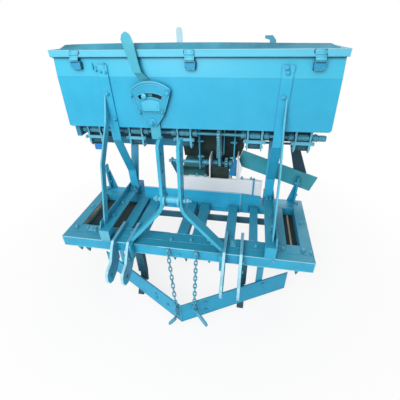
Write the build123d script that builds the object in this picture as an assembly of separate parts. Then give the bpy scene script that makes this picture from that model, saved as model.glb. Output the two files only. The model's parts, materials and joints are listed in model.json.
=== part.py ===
"""Tractor-mounted seed drill: a welded frame with five tines, a seed and fertiliser hopper,
its metering row and chain drive, a ground wheel, a three-point hitch and a V-shaped levelling board.

Units are millimetres. The layout is drawn with X = 0 on the frame's centre plane, Y = 0 on the front
face of the front beam (the tractor side) and Z = 0 on the ground. Before the pieces are written they
are all moved by one vector, so that the origin is at the bottom centre of the whole machine.
+X is to the right for someone who looks from the tractor, +Y points to the rear, +Z up.
"""
from build123d import *
import math
import os

# ---------------------------------------------------------------- driving dimensions
# frame
FRAME_TOP = 500.0            # top of the frame above the ground
FRAME_WIDTH = 1560.0
FRAME_DEPTH = 632.0
FRONT_BEAM_DEPTH = 60.0
FRONT_BEAM_HEIGHT = 75.0
TINE_BAR_DEPTH = 75.0
TINE_BAR_HEIGHT = 60.0
END_MEMBER_WIDTH = 68.0
REAR_BEAM_DEPTH = 65.0
REAR_BEAM_HEIGHT = 65.0
REAR_TINE_BAR_DEPTH = 50.0
REAR_TINE_BAR_HEIGHT = 70.0
INNER_MEMBER_HEIGHT = 60.0
CROSS_BAR_Y = 440.0
CROSS_BAR_THICKNESS = 12.0
CROSS_BAR_HEIGHT = 50.0
CROSS_BAR_HALF_LENGTH = 640.0

# rear channel and the pale beam that stands on it
CHANNEL_LEFT = -390.0
CHANNEL_RIGHT = 335.0
CHANNEL_TOP = 100.0          # above the frame's top
CHANNEL_WALL = 8.0
DRIVE_BEAM_LEFT = -84.0
DRIVE_BEAM_RIGHT = 472.0
DRIVE_BEAM_DEPTH = 20.0
DRIVE_BEAM_HEIGHT = 125.0
DRIVE_BEAM_LAP = 20.0        # how far it reaches down behind the plate that carries it
BRACKET_BASE = 6.0           # thickness of the shaft brackets' feet on top of it
CLAMP_X = 415.0
CLAMP_WIDTH = 11.0
CLAMP_THICKNESS = 5.0

# rails that carry the hopper
RAIL_CENTRES = {"left": -472.0, "right": 528.0}
RAIL_WIDTH = 66.0
RAIL_WALL = 8.0
RAIL_UNDERSIDE = 74.0        # above the frame's top: the angle iron stands on a block at each end
RAIL_FLANGE_TOP = 120.0
RAIL_FLANGE_START = 12.0
RAIL_FLANGE_CHAMFER = 26.0
RAIL_BLOCK_WIDTH = 62.0
RAIL_BLOCK_DEPTH = 60.0

# hitch
HITCH_X = -24.0              # centre plane of the three-point hitch
LOWER_HITCH_SPREAD = 683.0   # category 1
LOWER_HITCH_GAP = 80.0       # between the plates of one pair
HITCH_PLATE = 18.0
LOWER_PIN_Y = -130.0
LOWER_PIN_DROP = 150.0       # below the frame's top
LOWER_PIN_BORE = 22.4
MAST_GAP = 84.0
MAST_PLATE = 16.0
MAST_FRONT_Y = -3.0
MAST_DEPTH = 80.0
MAST_HEIGHT = 672.0          # above the frame's top
MAST_BEND = 280.0
MAST_BEND_DEPTH = 64.0
MAST_TOP_SHIFT = 7.0         # the uprights lean: how far they are from the hitch's centre at the top
MAST_BEND_SHIFT = -3.0       # and at the bend
MAST_BEND_EASE = 55.0        # how far the rounding reaches from each bend
MAST_CHAMFER = 22.0
TOP_LINK_HOLES = (604.0, 503.0, 409.0)   # above the frame's top
TOP_LINK_BORE = 19.4
TOP_LINK_Y = 28.0
SPACER_HEIGHT = 336.0
SPACER_OUTER = 44.0
SPACER_FLANGE = 80.0
SPACER_FLANGE_THICKNESS = 8.0
THROUGH_BOLT = 20.0

# hopper
HOPPER_X = 9.0               # its centre plane
HOPPER_WIDTH = 1578.0        # across the bottom
HOPPER_TOP_WIDTH = 1550.0
HOPPER_FRONT_Y = 400.0
HOPPER_BOTTOM_LEFT = 589.0   # these heights are above the frame's top; the floor is not quite level
HOPPER_BOTTOM_RIGHT = 608.0
HOPPER_CORNER_EASE = 16.0
HOPPER_CREASE = 884.0
HOPPER_TOP = 1009.0          # at the front
HOPPER_FRONT_LEAN = 10.0     # how far the upper band leans back
HOPPER_DEPTH = 412.0         # across the top
HOPPER_FLOOR_DEPTH = 330.0
HOPPER_WALL = 3.0
DIVIDER_FROM_FRONT = 205.0
DIVIDER_DROP = 40.0          # below the hopper's front top edge

# lid
LID_OVERHANG = 16.0          # skirt's outer face from the hopper's rear wall
LID_END_OVERHANG = 10.0      # and from its end walls
LID_SHEET = 3.0
LID_RIM_BOTTOM = 983.0       # at the front, above the frame's top
LID_RIM_HEIGHT = 35.0
LID_FALL = 16.0              # the whole lid falls to the rear by this much
LID_CROWN_RISE = 19.0
LID_REAR_RISE = 2.0
LID_CROWN_BORDER = 20.0      # flat rim along the lid's front and rear, then the slope up
LID_CROWN_SLOPE = 38.0
LID_CROWN_LEFT = (54.0, 26.0)            # border and slope at the two ends
LID_CROWN_RIGHT = (44.0, 44.0)
HINGE_PIN = 10.0
HINGE_BARREL = 20.0
HINGE_BEHIND_SKIRT = 13.0
HINGE_XS = (-540.0, 9.0, 560.0)
HINGE_KNUCKLE = 34.0
HINGE_GAP = 1.0
RUNNING_CLEARANCE = 0.05     # radial, where a shaft or pin turns in a bore

# latches
LATCH_XS = (-618.0, 23.0, 668.0)
LATCH_WIDTH = 52.0

# rate lever and its sector
LEVER_PIVOT_X = -211.0
LEVER_PIVOT_HEIGHT = 640.0   # above the frame's top
SECTOR_PLATE = 8.0
SECTOR_STANDOFF = 18.0
SECTOR_ARC_RADIUS = 184.0
SECTOR_ARC_CENTRE = (6.0, 45.0)          # from the lever's pivot
SECTOR_HALF_ANGLE = 39.5
SLOT_RADIUS = 154.0
SLOT_WIDTH = 21.0
SLOT_FROM, SLOT_TO = -26.0, 26.0         # degrees from straight up
LEVER_THICKNESS = 8.0
LEVER_WIDTH = 58.0
LEVER_PIVOT_PIN = 16.0

REAR_LEVERS = ((-153.0, 1098.0), (460.0, 1046.0))   # X, top above the frame's top
REAR_LEVER_WIDTH = 40.0
REAR_LEVER_HOOK_RISE = 26.0
REAR_LEVER_SETBACK = 62.0    # behind the lid's hinge, so that the open lid passes

# metering and drive
FEED_SHAFT_Y = 490.0
FEED_SHAFT_HEIGHT = 540.0    # above the frame's top
FEED_SHAFT_RADIUS = 10.0
REAR_SHAFT_Y = 672.0
METER_XS = (-661.0, -371.0, -49.0, 392.0, 673.0)
METER_FLAT_SPACING = 86.0
METER_RISE = 0.0115          # the row follows the hopper's floor: rise per millimetre to +X
METER_FLAT = 8.0
METER_COLLAR = 32.0
REAR_RAIL_TOP = 440.0        # above the frame's top
REAR_RAIL_DEPTH = 62.0
REAR_STEM_GRIP = 12.0        # how far a rear unit's stem reaches down over the rail
COUNTER_SHAFT_INSET = 20.0   # in front of the frame's rear face
COUNTER_SHAFT_HEIGHT = 280.0
COUNTER_SHAFT_RADIUS = 12.0
UPPER_CHAIN_X = 172.0
LOWER_CHAIN_X = 214.0
CHAIN_WIDTH = 16.0
CHAIN_HEIGHT = 12.0
CHAIN_CLEARANCE = 1.0        # between a sprocket's tips and its chain
FEED_SPROCKET_TEETH = 16
COUNTER_UPPER_TEETH = 16
COUNTER_LOWER_TEETH = 12
WHEEL_SPROCKET_TEETH = 24
CHAIN_PITCH = 19.05

# ground wheel
WHEEL_X = -60.0
WHEEL_GAP = 343.0            # from the frame's rear face to the axle
WHEEL_WIDTH = 200.0
WHEEL_RIM_RADIUS = 300.0
WHEEL_RIM_THICKNESS = 6.0
LUG_HEIGHT = 45.0
LUG_THICKNESS = 6.0
LUG_COUNT = 12
SPOKE_COUNT = 6
AXLE_RADIUS = 15.0
HUB_RADIUS = 32.0
ARM_XS = (-184.0, 244.0)
ARM_THICKNESS = 8.0
ARM_WIDTH = 50.0

# soil-engaging parts
TINE_XS_FRONT = (-318.0, 388.0)
REAR_TINE_INSETS = (72.0, 48.0)          # of the outer two, from the end members
REAR_TINE_MIDDLE_X = 35.0
SHANK_WIDTH = 50.0
SHANK_THICKNESS = 20.0
SHANK_SETBACK = 6.0          # behind the beam's front face
TIP_FORWARD = 80.0           # shovel's tip in front of the shank's front face
FRONT_SHANK_Y = 85.0
FRONT_SHOVEL_WIDTH = 44.0
REAR_SHOVEL_WIDTH = 66.0
BOOT_WIDTH = 38.0
TINE_CLAMP_WIDTH = 44.0
CLAMP_PLATE = 8.0
CLAMPED_XS = (-560.0, 374.0)
BOARD_HEIGHT = 156.0
BOARD_BOTTOM = 48.0
BOARD_THICKNESS = 8.0
BOARD_APEX_X = 30.0
BOARD_APEX_Y = -185.0
BOARD_HALF_SPAN = 658.0
BOARD_SWEEP = 368.0          # how far back its ends are

# ---------------------------------------------------------------- derived places
HALF_WIDTH = FRAME_WIDTH / 2
BEAM_BOTTOM = FRAME_TOP - FRONT_BEAM_HEIGHT
TINE_BAR_REAR = FRONT_BEAM_DEPTH + TINE_BAR_DEPTH
REAR_BEAM_FRONT = FRAME_DEPTH - REAR_BEAM_DEPTH
REAR_TINE_BAR_FRONT = REAR_BEAM_FRONT - REAR_TINE_BAR_DEPTH
INNER_HALF = HALF_WIDTH - END_MEMBER_WIDTH
HOPPER_FLOOR = FRAME_TOP + HOPPER_BOTTOM_LEFT         # its lowest corner
UNDER_HOPPER = FRAME_TOP + HOPPER_BOTTOM_RIGHT + 12.0 # what is cut to the floor starts up here
HOPPER_REAR_Y = HOPPER_FRONT_Y + HOPPER_FRONT_LEAN + HOPPER_DEPTH
TINE_XS_REAR = (-INNER_HALF + REAR_TINE_INSETS[0], REAR_TINE_MIDDLE_X, INNER_HALF - REAR_TINE_INSETS[1])
CHANNEL_FRONT = REAR_TINE_BAR_FRONT - CHANNEL_WALL
DRIVE_BEAM_FRONT = REAR_TINE_BAR_FRONT
DRIVE_BEAM_BOTTOM = FRAME_TOP + CHANNEL_TOP - DRIVE_BEAM_LAP
DRIVE_BEAM_TOP = DRIVE_BEAM_BOTTOM + DRIVE_BEAM_HEIGHT
FEED_SHAFT_Z = FRAME_TOP + FEED_SHAFT_HEIGHT
COUNTER_SHAFT_Y = FRAME_DEPTH - COUNTER_SHAFT_INSET
COUNTER_SHAFT_Z = FRAME_TOP + COUNTER_SHAFT_HEIGHT
WHEEL_Y = FRAME_DEPTH + WHEEL_GAP
WHEEL_Z = WHEEL_RIM_RADIUS + LUG_HEIGHT
LID_FRONT_Y = HOPPER_FRONT_Y + HOPPER_FRONT_LEAN - LID_OVERHANG - 6.0
LID_REAR_Y = HOPPER_REAR_Y + LID_OVERHANG
LID_HALF = HOPPER_TOP_WIDTH / 2 + LID_END_OVERHANG
LID_LEFT, LID_RIGHT = HOPPER_X - LID_HALF, HOPPER_X + LID_HALF
HINGE_Y = LID_REAR_Y + HINGE_BEHIND_SKIRT
HINGE_Z = FRAME_TOP + LID_RIM_BOTTOM - LID_FALL + HINGE_BARREL / 2
LEVER_PIVOT_Z = FRAME_TOP + LEVER_PIVOT_HEIGHT
RAIL_FLOOR = FRAME_TOP + RAIL_UNDERSIDE + RAIL_WALL


# ---------------------------------------------------------------- small helpers
def block(x0, x1, y0, y1, z0, z1):
    """An axis-aligned box between two corners."""
    return Pos((x0 + x1) / 2, (y0 + y1) / 2, (z0 + z1) / 2) * Box(x1 - x0, y1 - y0, z1 - z0)


def rod_x(x0, x1, y, z, radius):
    """A cylinder along X."""
    return Pos((x0 + x1) / 2, y, z) * Rot(0, 90, 0) * Cylinder(radius, x1 - x0)


def rod_y(y0, y1, x, z, radius):
    """A cylinder along Y."""
    return Pos(x, (y0 + y1) / 2, z) * Rot(90, 0, 0) * Cylinder(radius, y1 - y0)


def rod_z(z0, z1, x, y, radius):
    """A cylinder along Z."""
    return Pos(x, y, (z0 + z1) / 2) * Cylinder(radius, z1 - z0)


def side_plate(points, x0, x1):
    """A plate in the YZ plane, from points (y, z), between x0 and x1."""
    face = make_face(Polyline(*[(x0, y, z) for y, z in points], close=True))
    return extrude(face, amount=x1 - x0, dir=(1, 0, 0))


def front_plate(points, y0, y1):
    """A plate in the XZ plane, from points (x, z), between y0 and y1."""
    face = make_face(Polyline(*[(x, y0, z) for x, z in points], close=True))
    return extrude(face, amount=y1 - y0, dir=(0, 1, 0))


def plan_plate(points, z0, z1):
    """A plate in the XY plane, from points (x, y), between z0 and z1."""
    face = make_face(Polyline(*[(x, y, z0) for x, y in points], close=True))
    return extrude(face, amount=z1 - z0, dir=(0, 0, 1))


def strip_points(path, thickness):
    """Outline of a bent strip: path is its one side, thickness is added to the left of it."""
    far = []
    for i, (u, v) in enumerate(path):
        normals = []
        for a, b in ((i - 1, i), (i, i + 1)):
            if 0 <= a and b < len(path):
                du, dv = path[b][0] - path[a][0], path[b][1] - path[a][1]
                length = math.hypot(du, dv)
                normals.append((-dv / length, du / length))
        nu = sum(n[0] for n in normals) / len(normals)
        nv = sum(n[1] for n in normals) / len(normals)
        stretch = thickness / (nu * nu + nv * nv)
        far.append((u + nu * stretch, v + nv * stretch))
    return list(path) + far[::-1]


def sprocket_radius(teeth):
    """Pitch radius of a sprocket for the drive chains."""
    return CHAIN_PITCH / 2 / math.sin(math.pi / teeth)


def sprocket(teeth, x, y, z, bore_radius=0.0):
    """A toothed disc on the X axis, whose tips stay inside the chain's loop."""
    tip = sprocket_radius(teeth) - CHAIN_HEIGHT / 2 - CHAIN_CLEARANCE
    root = tip - 5.0
    points = []
    for i in range(teeth):
        for share, radius in ((-0.3, root), (-0.12, tip), (0.12, tip), (0.3, root)):
            angle = 2 * math.pi * (i + share) / teeth
            points.append((y + radius * math.cos(angle), z + radius * math.sin(angle)))
    disc = side_plate(points, x - 3.5, x + 3.5)
    return disc + rod_x(x - 12, x + 12, y, z, root * 0.45)


def belt_loop(y_a, z_a, r_a, y_b, z_b, r_b, x0, x1):
    """Closed outline round two circles, as a solid prism between x0 and x1."""
    dy, dz = y_b - y_a, z_b - z_a
    length = math.hypot(dy, dz)
    heading = math.atan2(dz, dy)
    turn = math.acos((r_a - r_b) / length)
    ends = []
    for side in (1, -1):
        angle = heading + side * turn
        ends.append(((y_a + r_a * math.cos(angle), z_a + r_a * math.sin(angle)),
                     (y_b + r_b * math.cos(angle), z_b + r_b * math.sin(angle))))
    (a1, b1), (a2, b2) = ends
    mid_a = (y_a - r_a * math.cos(heading), z_a - r_a * math.sin(heading))
    mid_b = (y_b + r_b * math.cos(heading), z_b + r_b * math.sin(heading))
    lift = lambda p: (x0, p[0], p[1])
    outline = [Line(lift(a1), lift(b1)), ThreePointArc(lift(b1), lift(mid_b), lift(b2)),
               Line(lift(b2), lift(a2)), ThreePointArc(lift(a2), lift(mid_a), lift(a1))]
    return extrude(make_face(outline), amount=x1 - x0, dir=(1, 0, 0))


NODES = {}


def keep(name, *shapes):
    """Add shapes that don't touch one another to a node."""
    NODES.setdefault(name, []).extend(shapes)


# ---------------------------------------------------------------- frame
def frame():
    keep("front_beam", block(-HALF_WIDTH, HALF_WIDTH, 0, FRONT_BEAM_DEPTH, BEAM_BOTTOM, FRAME_TOP))
    keep("front_tine_bar", block(-INNER_HALF, INNER_HALF, FRONT_BEAM_DEPTH, TINE_BAR_REAR,
                                 FRAME_TOP - TINE_BAR_HEIGHT, FRAME_TOP))
    keep("end_members", *[block(x0, x1, FRONT_BEAM_DEPTH, FRAME_DEPTH, BEAM_BOTTOM, FRAME_TOP)
                          for x0, x1 in ((-HALF_WIDTH, -INNER_HALF), (INNER_HALF, HALF_WIDTH))])
    keep("rear_beam", block(-INNER_HALF, INNER_HALF, REAR_BEAM_FRONT, FRAME_DEPTH,
                            FRAME_TOP - REAR_BEAM_HEIGHT, FRAME_TOP))
    keep("rear_tine_bar", block(-INNER_HALF, INNER_HALF, REAR_TINE_BAR_FRONT, REAR_BEAM_FRONT,
                                FRAME_TOP - REAR_TINE_BAR_HEIGHT, FRAME_TOP))
    members = (          # centre X, width
        (-394.0, 68.0), (-302.0, 72.0), (-17.0, 65.0), (80.0, 62.0),
        (287.0, 62.0), (434.0, 52.0), (609.0, 45.0))
    member_z = FRAME_TOP - INNER_MEMBER_HEIGHT
    keep("inner_members", *[
        block(x - width / 2, x + width / 2, TINE_BAR_REAR,
              CHANNEL_FRONT if CHANNEL_LEFT - width / 2 < x < CHANNEL_RIGHT + width / 2 else REAR_TINE_BAR_FRONT,
              member_z, FRAME_TOP)
        for x, width in members])
    keep("cross_bar", block(-CROSS_BAR_HALF_LENGTH, CROSS_BAR_HALF_LENGTH, CROSS_BAR_Y,
                            CROSS_BAR_Y + CROSS_BAR_THICKNESS, member_z - CROSS_BAR_HEIGHT, member_z))
    # a plate on edge on the rear tine bar's front; the drive beam is welded to its back
    keep("rear_channel", block(CHANNEL_LEFT, CHANNEL_RIGHT, CHANNEL_FRONT, REAR_TINE_BAR_FRONT,
                               FRAME_TOP - REAR_TINE_BAR_HEIGHT, FRAME_TOP + CHANNEL_TOP))
    keep("drive_beam", block(DRIVE_BEAM_LEFT, DRIVE_BEAM_RIGHT, DRIVE_BEAM_FRONT,
                             DRIVE_BEAM_FRONT + DRIVE_BEAM_DEPTH, DRIVE_BEAM_BOTTOM, DRIVE_BEAM_TOP))
    # strap clamp over the drive beam and the bracket foot on it, down to the frame
    x0, x1 = CLAMP_X - CLAMP_WIDTH / 2, CLAMP_X + CLAMP_WIDTH / 2
    y0, y1 = DRIVE_BEAM_FRONT - CLAMP_THICKNESS, DRIVE_BEAM_FRONT + DRIVE_BEAM_DEPTH + CLAMP_THICKNESS
    over = DRIVE_BEAM_TOP + BRACKET_BASE
    strap = block(x0, x1, y0, y1, FRAME_TOP, over + CLAMP_THICKNESS)
    strap -= block(x0 - 1, x1 + 1, DRIVE_BEAM_FRONT, DRIVE_BEAM_FRONT + DRIVE_BEAM_DEPTH, FRAME_TOP - 1, over)
    keep("beam_clamp", strap)


def rails():
    for side, sign in (("left", -1), ("right", 1)):
        centre = RAIL_CENTRES[side]
        x0, x1 = centre - RAIL_WIDTH / 2, centre + RAIL_WIDTH / 2
        underside = FRAME_TOP + RAIL_UNDERSIDE
        floor = block(x0, x1, 0, FRAME_DEPTH, underside, RAIL_FLOOR)
        outer = (x0, x0 + RAIL_WALL) if sign < 0 else (x1 - RAIL_WALL, x1)
        start, flange_top = RAIL_FLANGE_START, FRAME_TOP + RAIL_FLANGE_TOP
        flange = side_plate([(start, underside), (FRAME_DEPTH, underside), (FRAME_DEPTH, flange_top),
                             (start + RAIL_FLANGE_CHAMFER, flange_top), (start, RAIL_FLOOR)], *outer)
        half = RAIL_BLOCK_WIDTH / 2
        ends = [block(centre - half, centre + half, y, y + RAIL_BLOCK_DEPTH, FRAME_TOP, underside)
                for y in (0.0, FRAME_DEPTH - RAIL_BLOCK_DEPTH)]
        keep("box_rails", floor + flange + ends[0] + ends[1])


# ---------------------------------------------------------------- what carries the hopper
STRAP_WIDTH = 57.0
STRAP_THICKNESS = 8.0
STRAP_CENTRES = {"left": -470.0, "right": 523.0}
STRAP_LEANS = {"left": -1.06, "right": 0.0}   # degrees, its foot to +X
STRAP_TOP = 945.0            # these heights are above the frame's top
STRAP_BEND_UPPER = 511.0
STRAP_BEND_LOWER = 235.0
STRAP_FOOT_Y = 515.0
LEG_WIDTH = 56.0
LEG_THICKNESS = 8.0
LEG_CENTRES = {"left": -467.0, "right": 523.0}
LEG_GAP = 1.0                # between the strap's foot and the leg's
LEG_TOP_Y = 720.0
BRACE_THICKNESS = 9.0
BRACE_DEPTH = 45.0
BRACE_CENTRES = {"left": -492.5, "right": 537.5}
BRACE_EDGE = (               # its front edge: Y, height above the frame's top
    (400.0, 806.0), (330.0, 643.0), (178.0, 444.0), (113.0, 248.0), (45.0, 60.0))


def carriers():
    face = HOPPER_FRONT_Y - STRAP_THICKNESS
    for side in ("left", "right"):
        centre = STRAP_CENTRES[side]
        half = STRAP_WIDTH / 2
        # flat on the hopper's front, then back and down to the rail
        lean = HOPPER_FRONT_LEAN * (STRAP_TOP - HOPPER_CREASE) / (HOPPER_TOP - HOPPER_CREASE)
        path = [(HOPPER_FRONT_Y + lean, FRAME_TOP + STRAP_TOP), (HOPPER_FRONT_Y, FRAME_TOP + HOPPER_CREASE),
                (HOPPER_FRONT_Y, FRAME_TOP + STRAP_BEND_UPPER), (STRAP_FOOT_Y, FRAME_TOP + STRAP_BEND_LOWER),
                (STRAP_FOOT_Y, RAIL_FLOOR - 6.0)]
        strap = side_plate(strip_points(path, -STRAP_THICKNESS), -half, half)
        middle = (RAIL_FLOOR + FRAME_TOP + STRAP_TOP) / 2
        turned = Pos(centre, 0, middle) * Rot(0, STRAP_LEANS[side], 0) * Pos(0, 0, -middle) * strap
        turned -= block(centre - 80, centre + 80, 0, FRAME_DEPTH, FRAME_TOP, RAIL_FLOOR)
        keep("box_straps", turned - HOPPER_BLOCK)
        # brace: a flat on edge from the strap's face, bowed, to the front of the rail
        x0 = BRACE_CENTRES[side] - BRACE_THICKNESS / 2
        edge = [(y, FRAME_TOP + z) for y, z in BRACE_EDGE]
        brace = side_plate(strip_points(edge, BRACE_DEPTH), x0, x0 + BRACE_THICKNESS)
        keep("strap_braces", brace & block(x0, x0 + BRACE_THICKNESS, 0, face, RAIL_FLOOR, HOPPER_FLOOR + HOPPER_TOP))
        # rear leg: a flat that slants back from the rail to the hopper's floor
        leg_x = LEG_CENTRES[side] - LEG_WIDTH / 2
        foot_y = STRAP_FOOT_Y + LEG_GAP
        slope = (LEG_TOP_Y - foot_y) / (UNDER_HOPPER - RAIL_FLOOR)
        path = [(foot_y - 20.0 * slope, RAIL_FLOOR - 20.0), (LEG_TOP_Y, UNDER_HOPPER)]
        leg = side_plate(strip_points(path, -LEG_THICKNESS), leg_x, leg_x + LEG_WIDTH)
        leg &= block(leg_x, leg_x + LEG_WIDTH, 0, HOPPER_REAR_Y, RAIL_FLOOR, UNDER_HOPPER - 1.0)
        keep("rear_legs", leg - HOPPER_BLOCK)


# ---------------------------------------------------------------- three-point hitch
def lower_plate(x0, x1):
    """One lower hitch plate: over the beam's top and front, down to the rounded eye."""
    top = FRAME_TOP + 28.0
    pin_z = FRAME_TOP - LOWER_PIN_DROP
    outline = [(0, FRAME_TOP), (172.0, FRAME_TOP), (172.0, top), (-18.0, top), (-46.0, FRAME_TOP + 3.0),
               (-102.0, FRAME_TOP - 80.0), (-152.0, FRAME_TOP - 98.0), (-172.0, FRAME_TOP - 114.0),
               (-180.0, pin_z), (-165.0, pin_z - 40.0), (-132.0, pin_z - 54.0), (-70.0, pin_z - 34.0),
               (0, FRAME_TOP - 126.0)]
    plate = side_plate(outline, x0, x1)
    plate -= rod_x(x0 - 1, x1 + 1, LOWER_PIN_Y, pin_z, LOWER_PIN_BORE / 2)
    return plate


def eased(points, corners, reach):
    """The outline with the named corners rounded: each gives way to five points of a curve."""
    result = []
    for i, (u, v) in enumerate(points):
        if i not in corners:
            result.append((u, v))
            continue
        ends = []
        for other in (points[i - 1], points[(i + 1) % len(points)]):
            du, dv = other[0] - u, other[1] - v
            share = reach / math.hypot(du, dv)
            ends.append((u + du * share, v + dv * share))
        (a, b), (c, d) = ends
        for k in range(5):
            t = k / 4
            result.append(((1 - t) ** 2 * a + 2 * t * (1 - t) * u + t * t * c,
                           (1 - t) ** 2 * b + 2 * t * (1 - t) * v + t * t * d))
    return result


def mast_outline(sign):
    """One mast flat as seen from the front: a leaning upright, bent outwards to the hitch plates."""
    pair = HITCH_X + sign * LOWER_HITCH_SPREAD / 2
    inner_plate = pair - sign * (LOWER_HITCH_GAP / 2 + HITCH_PLATE)
    foot_in = inner_plate - sign * MAST_PLATE
    top_in = HITCH_X + MAST_TOP_SHIFT + sign * MAST_GAP / 2
    bend_in = HITCH_X + MAST_BEND_SHIFT + sign * MAST_GAP / 2
    thick = sign * MAST_PLATE
    top, bend = FRAME_TOP + MAST_HEIGHT, FRAME_TOP + MAST_BEND
    rise = MAST_PLATE * 1.3
    outline = [(top_in, top), (bend_in, bend), (foot_in, FRAME_TOP + 20.0), (foot_in, FRAME_TOP - 100.0),
               (inner_plate, FRAME_TOP - 100.0), (inner_plate, FRAME_TOP + 20.0 + rise * 0.55),
               (bend_in + thick, bend + rise * 0.45), (top_in + thick, top)]
    return eased(outline, (1, 6), MAST_BEND_EASE), foot_in, inner_plate


def hitch():
    offset = LOWER_HITCH_GAP / 2
    y0, y1 = MAST_FRONT_Y, MAST_FRONT_Y + MAST_DEPTH
    top, bend = FRAME_TOP + MAST_HEIGHT, FRAME_TOP + MAST_BEND
    bend_y1 = MAST_FRONT_Y + MAST_BEND_DEPTH
    taper = side_plate([(y0, FRAME_TOP), (y0, top - MAST_CHAMFER), (y0 + MAST_CHAMFER + 8, top), (y1, top),
                        (bend_y1, bend), (bend_y1, FRAME_TOP)], -HALF_WIDTH, HALF_WIDTH)
    spacer_z = FRAME_TOP + SPACER_HEIGHT
    share = (SPACER_HEIGHT - MAST_BEND) / (MAST_HEIGHT - MAST_BEND)
    spacer_x = HITCH_X + MAST_BEND_SHIFT + share * (MAST_TOP_SHIFT - MAST_BEND_SHIFT)
    solid_flats = []
    for sign in (-1, 1):
        pair = HITCH_X + sign * LOWER_HITCH_SPREAD / 2
        keep("hitch_plates",
             lower_plate(pair - offset - HITCH_PLATE, pair - offset),
             lower_plate(pair + offset, pair + offset + HITCH_PLATE))
        outline, foot_in, inner_plate = mast_outline(sign)
        flat = front_plate(outline, y0, y1) & taper
        solid_flats.append(flat)
        # the foot stands in front of the beam and on top of it
        foot = block(min(foot_in, inner_plate), max(foot_in, inner_plate), -45.0, 0,
                     FRAME_TOP - 100.0, FRAME_TOP + 20.0)
        mast = flat + foot
        for height, radius in [(h, TOP_LINK_BORE / 2) for h in TOP_LINK_HOLES] + [(SPACER_HEIGHT, THROUGH_BOLT / 2)]:
            mast -= rod_x(HITCH_X - 100, HITCH_X + 100, TOP_LINK_Y, FRAME_TOP + height, radius)
        keep("mast", mast)
    # spacer between the flats, its ends cut to their lean, and the bolt through all of them
    half = MAST_GAP / 2
    reach = half + MAST_PLATE
    spacer = rod_x(spacer_x - half - 3, spacer_x + half + 3, TOP_LINK_Y, spacer_z, SPACER_OUTER / 2)
    for end in (-1, 1):
        for x_a, length, radius in ((spacer_x + end * (half + 3), -SPACER_FLANGE_THICKNESS - 3, SPACER_FLANGE / 2),
                                    (spacer_x + end * (reach - 3), 21.0, 16.0)):
            x_b = x_a + end * length
            spacer += rod_x(min(x_a, x_b), max(x_a, x_b), TOP_LINK_Y, spacer_z, radius)
    for flat in solid_flats:
        spacer -= flat
    spacer += rod_x(spacer_x - reach - 3, spacer_x + reach + 3, TOP_LINK_Y, spacer_z, THROUGH_BOLT / 2)
    keep("mast_spacer", spacer)


# ---------------------------------------------------------------- hopper and lid
def lid_fall(y):
    """How far the lid and the hopper's rim have fallen at a place between front and rear."""
    return LID_FALL * (y - LID_FRONT_Y) / (LID_REAR_Y - LID_FRONT_Y)


def hopper_prism(wall):
    """The hopper as a solid, inset by wall and, where it is inset, open through its top."""
    lean_y = HOPPER_FRONT_Y + HOPPER_FRONT_LEAN
    over = 40.0 if wall else 0.0
    front_top = FRAME_TOP + HOPPER_TOP + over
    rear_corner, under = HOPPER_FRONT_Y + HOPPER_FLOOR_DEPTH - wall, HOPPER_FLOOR - 40.0
    profile = [(HOPPER_FRONT_Y + wall, under),
               (HOPPER_FRONT_Y + wall, FRAME_TOP + HOPPER_CREASE), (lean_y + wall, front_top),
               (HOPPER_REAR_Y - wall, front_top - lid_fall(HOPPER_REAR_Y)),
               (HOPPER_REAR_Y - wall, FRAME_TOP + HOPPER_CREASE),
               (rear_corner, HOPPER_FLOOR + wall), (rear_corner, under)]
    low, high = HOPPER_WIDTH / 2 - wall, HOPPER_TOP_WIDTH / 2 - wall
    ends = [(HOPPER_X - low, FRAME_TOP + HOPPER_BOTTOM_LEFT + wall),
            (HOPPER_X + low, FRAME_TOP + HOPPER_BOTTOM_RIGHT + wall),
            (HOPPER_X + high, FRAME_TOP + HOPPER_TOP), (HOPPER_X + high, FRAME_TOP + HOPPER_TOP + over + 1.0),
            (HOPPER_X - high, FRAME_TOP + HOPPER_TOP + over + 1.0), (HOPPER_X - high, FRAME_TOP + HOPPER_TOP)]
    across = side_plate(profile, HOPPER_X - HOPPER_WIDTH, HOPPER_X + HOPPER_WIDTH)
    along = front_plate(eased(ends, (0, 1), HOPPER_CORNER_EASE), HOPPER_FRONT_Y - 10.0, HOPPER_REAR_Y + 10.0)
    return across & along


HOPPER_BLOCK = hopper_prism(0.0)


def hopper():
    shell = HOPPER_BLOCK - hopper_prism(HOPPER_WALL)
    divider_y = HOPPER_FRONT_Y + DIVIDER_FROM_FRONT
    divider = block(HOPPER_X - HOPPER_WIDTH / 2, HOPPER_X + HOPPER_WIDTH / 2, divider_y,
                    divider_y + HOPPER_WALL, HOPPER_FLOOR, FRAME_TOP + HOPPER_TOP - DIVIDER_DROP)
    keep("hopper_body", shell + (divider & HOPPER_BLOCK))


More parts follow.
